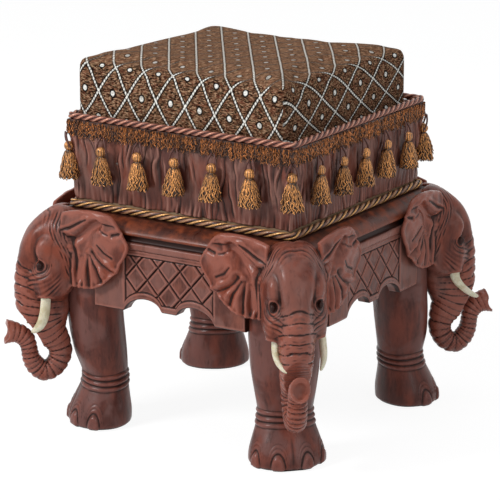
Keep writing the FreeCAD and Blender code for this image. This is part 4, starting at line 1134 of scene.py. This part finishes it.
def head_mesh():
    h = VOXEL
    xs = np.arange(158.0, 322.0, h)
    ys = np.arange(0.0, 106.0, h)
    zs = np.arange(50.0, 294.0, h)
    x, y, z = xs[:, None, None], ys[None, :, None], zs[None, None, :]

    crown = rounded(x, y, z, (228, 3, 242), (32, 31, 35), 2.3)
    pinch = np.interp(zs, [200, 214, 232, 250, 262], [0.54, 0.66, 0.88, 1.0, 1.0])[None, None, :]
    forehead = rounded(x, y / pinch, z, (245, 0, 217), (36.5, 25.5, 48), 3.4)
    temple = rounded(x, y, z, (234, 20, 222), (25, 19, 38))
    cheek = rounded(x, y, z, (246, 17, 191), (27, 22, 28))
    nape = rounded(x, y, z, (212, 9, 222), (18, 31, 47))
    body = union(union(crown, forehead, 10.0), temple, 7.0)
    body = union(union(body, cheek, 8.0), nape, 9.0)
    jaw = rounded(x, y, z, (236, 0, 158), (12, 17, 30))
    body = union(body, jaw, 9.0)
    trunk, ribs = trunk_field(xs, y, zs)
    body = union(body, trunk, 9.0)
    # Painted shade in the trunk's rib grooves.
    painted_shading_and_marks = ribs * ease(9.0, 3.0, trunk - np.minimum(body, trunk)) * ease(3.5, 0.5, np.abs(trunk))

    # The open tip is a shallow oval dish.
    mouth = rounded(x, y, z, (309.5, 0, 121.8), (11.6, 8.8, 12.0))
    body = carve(body, mouth, 3.0)
    bite = rounded(x, y, z, (312.5, 0, 121.5), (12.4, 40, 11.5))
    body = carve(body, bite, 3.0)
    # Painted shade inside the tip's dish.
    painted_shading_and_marks = np.maximum(painted_shading_and_marks, 0.75 * ease(1.5, -0.5, mouth))

    # The loop is painted darker, with a fine mesh of shallow grooves painted darker still.
    mesh = np.maximum(notch(np.sin((x + z) * 0.75), 0.35), notch(np.sin((x - z) * 0.75 + y * 0.3), 0.35))
    loop = ease(118, 98, z) * ease(298, 290, x) * ease(3.0, 1.0, np.abs(trunk))
    body = body + 0.35 * mesh * loop
    painted_shading_and_marks = np.maximum(painted_shading_and_marks, (0.45 + 0.35 * mesh) * loop)

    # The eye lies in a hollow beside the forehead, under a heavy brow.
    hollow = rounded(x, y, z, (272, 41, 207), (13, 10, 11))
    body = carve(body, hollow, 9.0)
    lump = rounded(x, y, z, (252, 25.5, 228), (15.5, 10, 16))
    body = union(body, lump, 6.0)
    ball = rounded(x, y, z, (263.6, 28.0, 210.0), (4.4, 3.6, 4.6))
    upper = ease(-4, 3, z - 210.0)
    lid = notch(ball - 1.2, 0.7) * upper
    body = body - 0.9 * notch(ball - 2.9, 1.5) * upper
    below = ease(3, -3, z - 210.0 + 0.3 * (x - 262.8)) * ease(242, 250, x) * ease(14, 22, y)
    bags = sum(weight * notch(ball - at, 0.9) for at, weight in ((5.2, 0.8), (7.8, 0.65), (10.8, 0.45))) * below
    body = body + 0.8 * lid + 0.9 * bags
    body = union(body, ball, 1.0)
    # Painted shade in the lid's crease and the bags under the eye.
    painted_shading_and_marks = np.maximum(painted_shading_and_marks, np.maximum(0.75 * lid, 0.45 * bags))
    # The ball is painted dark.
    painted_shading_and_marks = np.maximum(painted_shading_and_marks, 3.4 * ease(1.9, 0.3, ball))

    # The tusk leaves the cheek through a collar.
    collar = np.sqrt((x - 256.8) ** 2 + (y - 27.0) ** 2 + 0 * z)
    collar = np.maximum(collar - (8.6 - 0.06 * (z - 170.0)), np.abs(z - 179.5) - 9.0)
    body = union(body, collar, 5.0)

    # Folds fan from the crown, arch over the forehead and run down before the ear.
    brow_z = [178, 186, 215, 230, 243, 252, 260, 271, 280]
    brow_x = [224, 226.5, 234.5, 241, 247, 248.8, 248, 243.5, 239]
    bow = np.interp(zs, brow_z, brow_x)[None, None, :]
    fold = x - bow + 0.8 * np.sin(z * 0.16 + y * 0.07) + 0.6 * np.sin(z * 0.05 + y * 0.15)
    wave = 0.5 + 0.5 * np.cos(2 * np.pi * fold / 3.6 + 0.6 * np.sin(z * 0.21))
    broken = 0.62 + 0.38 * np.sin(z * 0.31 + fold * 1.3 + y * 0.2)
    at_side = ease(13, 20, y) * ease(-20, -15, fold) * ease(4.5, 0.5, fold) * ease(180, 194, z)
    on_top = ease(243, 249, z) * ease(-1.5, 0.5, fold) * ease(10.5, 8.5, fold) * ease(24, 18, y) * 0.7
    folds = wave**1.6 * broken * np.maximum(at_side, on_top)
    body = body + 0.95 * folds - 0.30 * np.maximum(at_side, on_top)
    # Painted shade in the folds' grooves.
    painted_shading_and_marks = np.maximum(painted_shading_and_marks, 0.50 * folds)

    # Soft slanting folds run down the cheek.
    level = z + 0.75 * (x - 286.0) + 2.2 * np.sin(x * 0.13) + 0.8 * np.sin(z * 0.23)
    wave = 0.5 + 0.5 * np.cos(2 * np.pi * level / 6.4)
    cheek_zone = ease(168, 178, z) * ease(212, 198, z) * ease(234, 246, x) * ease(288, 276, x) * ease(13, 21, y)
    soft_folds = wave**2 * cheek_zone * (0.6 + 0.4 * np.sin(z * 0.17 + x * 0.21))
    body = body + 0.75 * soft_folds
    # Painted shade in the cheek folds' grooves.
    painted_shading_and_marks = np.maximum(painted_shading_and_marks, 0.28 * soft_folds)

    # The ear is a draped plate along the stool's side.
    along_grid = np.arange(-30.0, 100.0, 0.5)
    es, ez = np.meshgrid(along_grid, zs, indexing="ij")
    edge = ear_edge(es, ez)
    face, creases = ear_relief(es, ez)
    sx = (-(xs[:, None] - HEAD_BACK) + (ys[None, :] - 31.8)) / math.sqrt(2)
    nx = ((xs[:, None] - HEAD_BACK) + (ys[None, :] - 31.8)) / math.sqrt(2)
    cell = np.clip(((sx + 30.0) / 0.5).astype(int), 0, len(along_grid) - 1)
    front = nx[:, :, None] - face[cell]
    back = -(nx[:, :, None] - 0.3 - 0.35 * (face[cell] - 4.4))
    plate = np.maximum(front, back)
    plate = -union(-plate, edge[cell], 2.6)
    on_ear = ease(2.0, 0.5, plate) * (nx > -2.0)[:, :, None]
    # On the ear, its painted shade and highlights take over.
    painted_shading_and_marks = np.where(on_ear > 0.5, creases[cell], painted_shading_and_marks)
    body = union(body, plate, 3.0)

    # Behind, the head stops at the stool's side; above, it leaves room for the rope.
    body = np.maximum(body, HEAD_BACK - 14.0 - x - np.maximum(0, (sx[:, :, None] + 6.0) * 8.0))
    rope_room = np.maximum(272.6 - z, nx[:, :, None] + 21.0)
    body = carve(body, rope_room, 2.0)

    full = np.concatenate([body[:, :0:-1], body], axis=1).astype(np.float64)
    painted_shading_and_marks = np.concatenate([painted_shading_and_marks[:, :0:-1], painted_shading_and_marks], axis=1)
    density = np.clip(0.5 - full / (2.2 * h), 0, 1)
    soft = blurred(density, 6, axes=(0, 1, 2))
    grid = openvdb.FloatGrid(3.0)
    grid.copyFromArray(np.clip(full / h, -3.0, 3.0))
    points, quads = grid.convertToQuads(isovalue=0.0)
    # The cavity layer: darker in hollows and paler on rises, as painted shade and highlight, with the painted shading
    # above laid over it.
    cavity = (0.5 - sampled(soft, points)) * 5.2
    cavity = np.clip(cavity - 0.75 * np.clip(sampled(painted_shading_and_marks, points), -1, 2), -1, 1)
    place = points * h + [xs[0], -ys[-1], zs[0]]
    return place, np.asarray(quads)[:, ::-1], cavity


# Each corner was carved by hand: the head's turn, how far the trunk's loop and the foot lean
# out, how far the tusks turn, and how far out and up their tips lean.
LEANS = {
    "front_right": (-0.12, 0.0, 0.0, 0.01, 0.0, 5.0),
    "front_left": (0.02, 0.0, -9.0, 0.0, -5.0, -7.0),
    "back_left": (0.03, 2.0, 2.0, 0.03, 2.0, 0.0),
    "back_right": (-0.02, 11.0, 7.0, -0.02, 12.0, 2.0),
}


def leaned(points, corner, kind):
    turn, loop, foot, tusk_turn, out, up = LEANS[corner]
    points = np.array(points, float)
    if kind == "leg":
        points[:, 0] += foot * ease(170, 40, points[:, 2])
    elif kind == "tusk":
        low = ease(166, 128, points[:, 2])
        points[:, 1] += tusk_turn * np.maximum(points[:, 0] - 228.0, 0)
        points[:, 0] += out * low
        points[:, 2] += up * low
    else:
        points[:, 1] += turn * np.maximum(points[:, 0] - 228.0, 0)
        points[:, 0] += loop * ease(172, 92, points[:, 2])
    return points


head_points, head_quads, head_hollow = head_mesh()
for corner, corner_angle in CORNERS.items():
    shape = mesh_of("elephant_head", leaned(head_points, corner, "head"), head_quads, layers={"cavity": head_hollow})
    show(
        "elephant_head_" + corner, shape, carved, "carved_wood",
        "head_" + corner, "trunk_" + corner, f"ear_{corner}_left", f"ear_{corner}_right", turn=corner_angle,
    )


# Legs

LEG_TABLE = [
    (0.000, 0.13, 1.15, 1.01), (0.045, 0.13, 1.19, 1.04), (0.120, 0.06, 1.05, 0.93), (0.200, -0.07, 0.86, 0.78),
    (0.255, -0.13, 0.79, 0.74), (0.370, -0.03, 0.95, 0.84), (0.500, 0.00, 1.00, 0.94), (0.660, 0.00, 1.00, 1.00),
    (1.000, 0.00, 1.00, 1.00),
]


def leg_points():
    rows, columns = 200, 200
    table = np.asarray(LEG_TABLE)
    share = np.linspace(0, 1, rows)
    shift = np.interp(share, table[:, 0], table[:, 1])
    deep = np.interp(share, table[:, 0], table[:, 2])
    wide = np.interp(share, table[:, 0], table[:, 3])
    smooth = np.ones(15) / 15
    shift, deep, wide = (np.convolve(np.pad(v, 7, "edge"), smooth, "valid") for v in (shift, deep, wide))
    z = 1.0 + 239.0 * share
    angle = np.arange(columns) * 2 * np.pi / columns
    zz, aa = np.meshgrid(z, angle, indexing="ij")
    turn = np.degrees((aa + np.pi) % (2 * np.pi) - np.pi)
    relief = np.zeros_like(zz)
    for level, height, width in ((64.0, 1.5, 2.2), (57.0, 2.0, 2.4), (50.5, 1.6, 2.2)):
        bent = level + 1.2 * np.cos(aa * 2 + level)
        relief += height * np.exp(-(((zz - bent) / width) ** 2))
        relief += groove(zz - bent - 3.3, 0.8, 0.7) + groove(zz - bent + 3.3, 0.8, 0.7)
    for middle in (-66.0, -24.0, 24.0, 66.0):
        across = (turn - middle) * 0.72
        cover = np.sqrt((across / 7.6) ** 2 + ((zz - 5.0) / 15.5) ** 2)
        relief += 2.6 * ease(1.05, 0.70, cover)
        relief += groove(cover - 1.08, 0.055, 0.9) * ease(2, 8, zz)
        for size, height in ((1.32, 0.9), (1.62, 0.6)):
            relief += height * np.exp(-(((cover - size) / 0.09) ** 2)) * ease(6, 14, zz)
            relief += groove(cover - size - 0.16, 0.05, 0.45) * ease(6, 14, zz)
    relief += groove(turn, 3.0, 1.0) * ease(46, 30, zz)
    relief += 0.8 * smooth_noise(zz.shape, (50, 22), 3) + 0.35 * smooth_noise(zz.shape, (18, 10), 4)
    relief *= ease(236, 225, zz) * 0.999 + 0.001
    relief += -3.0 * ease(4.0, 0.0, zz - 1.0) ** 2
    hollow = np.clip((relief - blurred(relief, 14)) / 2.1, -1, 1)
    x = LEG_OUT + 33.7 * shift[:, None] + (33.7 * deep[:, None] + relief) * np.cos(aa)
    y = (44.0 * wide[:, None] + relief) * np.sin(aa)
    points = np.stack([x, y, zz], -1).reshape(-1, 3)
    faces = np.concatenate([grid_faces(rows, columns, wrap_columns=True), capped_ends(rows, columns)])
    return points, faces, hollow


leg_shape, leg_faces, leg_hollow = leg_points()
for corner, corner_angle in CORNERS.items():
    shape = mesh_of("elephant_leg", leaned(leg_shape, corner, "leg"), leg_faces, layers={"cavity": leg_hollow})
    show("elephant_leg_" + corner, shape, leg_wood, "carved_wood", "leg_" + corner, turn=corner_angle)


# Tusks


TUSK = [
    (256.4, 26.4, 180.0), (256.6, 27.2, 171.0), (257.6, 28.0, 161.0), (260.8, 28.0, 151.0), (266.2, 26.6, 142.0),
    (272.4, 23.6, 135.8), (279.0, 19.8, 131.6),
]


def tusk_points(side):
    line = spline(TUSK, 40) * [1, side, 1]
    t = np.linspace(0, 1, len(line))
    radii = (5.8 + 0.5 * np.sin(np.pi * t) - 3.8 * t**3.0) * np.sqrt(np.clip((1.004 - t) / 0.06, 0, 1))
    return tube(line, np.maximum(radii, 0.4), 24, up=(0, 1, 0), flat=0.72)


for side, word in ((1, "left"), (-1, "right")):
    tusk_shape, tusk_faces = tusk_points(side)
    for corner, corner_angle in CORNERS.items():
        name = f"tusk_{corner}_{word}"
        shape = mesh_of("tusk", leaned(tusk_shape, corner, "tusk"), tusk_faces)
        show("ivory_" + name, shape, ivory, "tusk", name, turn=corner_angle)


# Cushion


def cushion_block(half, low, top, corner, edge):
    """A rounded block as a closed grid mesh with even quads."""
    mesh = bpy.data.meshes.new("cushion_block")
    bm = bmesh.new()
    bmesh.ops.create_cube(bm, size=2.0)
    bmesh.ops.subdivide_edges(bm, edges=bm.edges, cuts=44, use_grid_fill=True)
    middle, tall = (low + top) / 2, (top - low) / 2
    for vertex in bm.verts:
        u, v, w = vertex.co
        x, y, z = u * half, v * half, w * tall
        # Rounds the upright corners, then the upper edge.
        ax, ay = abs(x) - (half - corner), abs(y) - (half - corner)
        if ax > 0 and ay > 0:
            reach = max(ax, ay) / math.hypot(ax, ay)
            x = math.copysign(half - corner + ax * reach, x)
            y = math.copysign(half - corner + ay * reach, y)
        ring = max(abs(u), abs(v))
        over = z - (tall - edge)
        side = ring * half - (half - edge)
        if over > 0 and side > 0:
            reach = max(over, side) / math.hypot(over, side)
            z = tall - edge + over * reach
            shrink = (half - edge + side * reach) / max(ring * half, 1e-6)
            x, y = x * shrink, y * shrink
        vertex.co = (x * MM, y * MM, (middle + z) * MM)
    bm.to_mesh(mesh)
    bm.free()
    return mesh


def mesh_points(mesh):
    points = np.empty(len(mesh.vertices) * 3, np.float32)
    mesh.vertices.foreach_get("co", points)
    return points.reshape(-1, 3).astype(float)


def evaluated(obj):
    """A new mesh of the object with its modifiers applied."""
    return bpy.data.meshes.new_from_object(obj.evaluated_get(bpy.context.evaluated_depsgraph_get()))


def swollen(obj):
    """Cloth that swells from inside, pinned at its foot; each point may move only a little."""
    remesh = obj.modifiers.new("even", "REMESH")
    remesh.mode, remesh.voxel_size = "VOXEL", 4.5 * MM
    obj.data = evaluated(obj)
    obj.modifiers.clear()
    rest = mesh_points(obj.data)
    group = obj.vertex_groups.new(name="pinned")
    group.add([int(i) for i in np.nonzero(rest[:, 2] < (SEAT_LOW + 4.0) * MM)[0]], 1.0, "ADD")
    cloth = obj.modifiers.new("cloth", "CLOTH")
    cloth.settings.use_pressure = True
    cloth.settings.uniform_pressure_force = 4.0
    cloth.settings.effector_weights.gravity = 0.0
    cloth.settings.tension_stiffness = 30.0
    cloth.settings.compression_stiffness = 30.0
    cloth.settings.bending_stiffness = 2.0
    cloth.settings.quality = 6
    cloth.settings.vertex_group_mass = "pinned"
    for number in range(1, 21):
        bpy.context.scene.frame_set(number)
    mesh = evaluated(obj)
    move = (mesh_points(mesh) - rest) / MM
    bpy.context.scene.frame_set(1)
    obj.modifiers.clear()
    rest /= MM
    # The sides keep close to the block; the top may rise.
    upper = ease(SEAT_TOP - 26, SEAT_TOP - 10, rest[:, 2])
    both = ease(118, 136, np.abs(rest[:, :2]).min(axis=1))
    cap = (0.9 + 3.6 * upper) * (1 - 0.9 * both)
    points = rest + move * np.minimum(1.0, cap / np.maximum(np.linalg.norm(move, axis=1), 1e-9))[:, None]
    return mesh, points


def cushion_edge(x, y):
    """Height of the top edge over the plain level: uneven corners, higher at the middle of each side."""
    u, v = np.clip(x / SEAT_HALF, -1, 1), np.clip(y / SEAT_HALF, -1, 1)
    corners = 3.5 - 1.25 * u - 2.0 * v + 0.75 * u * v
    return corners + (1 - v**2) * u**2 * (3.5 + 0.75 * u) + (1 - u**2) * v**2 * (1.25 - 0.25 * v)


def make_cushion():
    obj = bpy.data.objects.new("brocade_cushion", cushion_block(145.0, SEAT_LOW, SEAT_TOP - 3.5, 9.0, 9.0))
    bpy.context.scene.collection.objects.link(obj)
    mesh, points = swollen(obj)
    mesh.vertices.foreach_set("co", (points * MM).ravel().astype(np.float32))
    obj.data = mesh
    divide = obj.modifiers.new("fine", "SUBSURF")
    divide.levels = divide.render_levels = 1
    final = evaluated(obj)
    obj.modifiers.clear()
    points = mesh_points(final) / MM
    x, y, z = points.T
    flat = np.maximum(np.abs(x), np.abs(y))
    drop = np.maximum(SEAT_TOP - 3.5 - z, 0) * ease(120, 134, flat) + 2.4 * notch(x, 45) * ease(-134, -142, y)
    for name, values in (("cloth_x", x), ("cloth_y", y), ("cloth_drop", drop)):
        final.attributes.new(name, "FLOAT", "POINT").data.foreach_set("value", values.astype(np.float32))
    # Drawn in at the foot, lifted along the edges, and a little to the left over the rope.
    foot = ease(400, SEAT_LOW, z)
    above = ease(381, 386, z)
    drawn = 1 - foot * (1 - SEAT_FOOT / SEAT_HALF)
    points[:, 0] = x * drawn - 5.0 * above
    points[:, 1] = y * drawn - 3.0 * above
    points[:, 2] = z + ease(396, 444, z) * cushion_edge(x, y)
    final.vertices.foreach_set("co", (points * MM).ravel().astype(np.float32))
    obj.data = final
    final.polygons.foreach_set("use_smooth", np.full(len(final.polygons), True))
    final.materials.clear()
    final.materials.append(brocade)
    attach(obj, "seat")
    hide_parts("seat_cover", "seat_foam")


make_cushion()


# Floor, light and camera


def seen_directly(nodes, links):
    """1 for camera, mirror and glass rays, which see the pale surroundings as white."""
    rays = nodes.new("ShaderNodeLightPath")
    value = rays.outputs["Is Camera Ray"]
    for kind in ("Is Glossy Ray", "Is Transmission Ray"):
        larger = nodes.new("ShaderNodeMath")
        larger.operation = "MAXIMUM"
        links.new(value, larger.inputs[0])
        links.new(rays.outputs[kind], larger.inputs[1])
        value = larger.outputs[0]
    return value


def floor_material():
    """Pale floor: it keeps the object's shadow, and is otherwise nearly white to the camera."""
    m = Finish("pale_floor", 0.9)
    tint = m.noise(m.place(), 0.004, 2.0)
    material = m.finish(m.mix(tint, (0.86, 0.86, 0.86), (0.90, 0.90, 0.90)))
    glow = m.add("ShaderNodeEmission", {"Color": (1.0, 1.0, 1.0), "Strength": 1.14})
    share = Value(m, seen_directly(m.nodes, m.links)) * 0.80
    both = m.add("ShaderNodeMixShader", {0: share, 1: Value(m, m.shader.outputs[0]), 2: glow})
    m.put(next(n for n in m.nodes if n.type == "OUTPUT_MATERIAL").inputs[0], both)
    return material


def make_stage():
    far = 9000
    mesh = mesh_of("floor", [(-far, -far, 0), (far, -far, 0), (far, far, 0), (-far, far, 0)], [(0, 1, 2, 3)], False)
    floor = bpy.data.objects.new("floor", mesh)
    bpy.context.scene.collection.objects.link(floor)
    mesh.materials.append(floor_material())

    world = bpy.data.worlds.new("studio")
    bpy.context.scene.world = world
    world.use_nodes = True
    nodes, links = world.node_tree.nodes, world.node_tree.links
    nodes.clear()
    blend = nodes.new("ShaderNodeMixShader")
    links.new(seen_directly(nodes, links), blend.inputs[0])
    # Input 1 is the light on the object, and input 2 is the white that the camera sees.
    for socket, color, strength in ((1, (0.95, 0.97, 1.0, 1.0), 0.29), (2, (1, 1, 1, 1), 1.0)):
        background = nodes.new("ShaderNodeBackground")
        background.inputs[0].default_value = color
        background.inputs[1].default_value = strength
        links.new(background.outputs[0], blend.inputs[socket])
    links.new(blend.outputs[0], nodes.new("ShaderNodeOutputWorld").inputs[0])


def lamp(name, place, target, size, power):
    light = bpy.data.lights.new(name, "AREA")
    light.shape = "SQUARE"
    light.size = size
    light.energy = power
    obj = bpy.data.objects.new(name, light)
    bpy.context.scene.collection.objects.link(obj)
    obj.location = place
    obj.rotation_euler = (Vector(target) - Vector(place)).to_track_quat("-Z", "Y").to_euler()


def make_camera():
    turn, tilt, far = math.radians(32.17), math.radians(15.24), 3.158
    target = Vector((0, 0, 0.206))
    away = Vector((math.cos(tilt) * math.sin(turn), -math.cos(tilt) * math.cos(turn), math.sin(tilt)))
    data = bpy.data.cameras.new("camera")
    data.sensor_width = 36.0
    data.sensor_fit = "HORIZONTAL"
    data.lens = 2565.3 / 500 * 36.0
    data.shift_x = 1.2 / 500
    data.clip_end = 50.0
    camera = bpy.data.objects.new("camera", data)
    bpy.context.scene.collection.objects.link(camera)
    camera.location = target + away * far
    camera.rotation_euler = (-away).to_track_quat("-Z", "Y").to_euler()
    bpy.context.scene.camera = camera


make_stage()
lamp("key", (-1.4, -2.4, 2.2), (0, 0, 0.2), 0.8, 68)
lamp("fill", (2.6, -1.2, 1.3), (0, 0, 0.2), 1.2, 13)
lamp("top", (0.1, 0.3, 2.6), (0, 0, 0.3), 1.6, 12)
make_camera()
bpy.context.scene.view_settings.view_transform = "Standard"
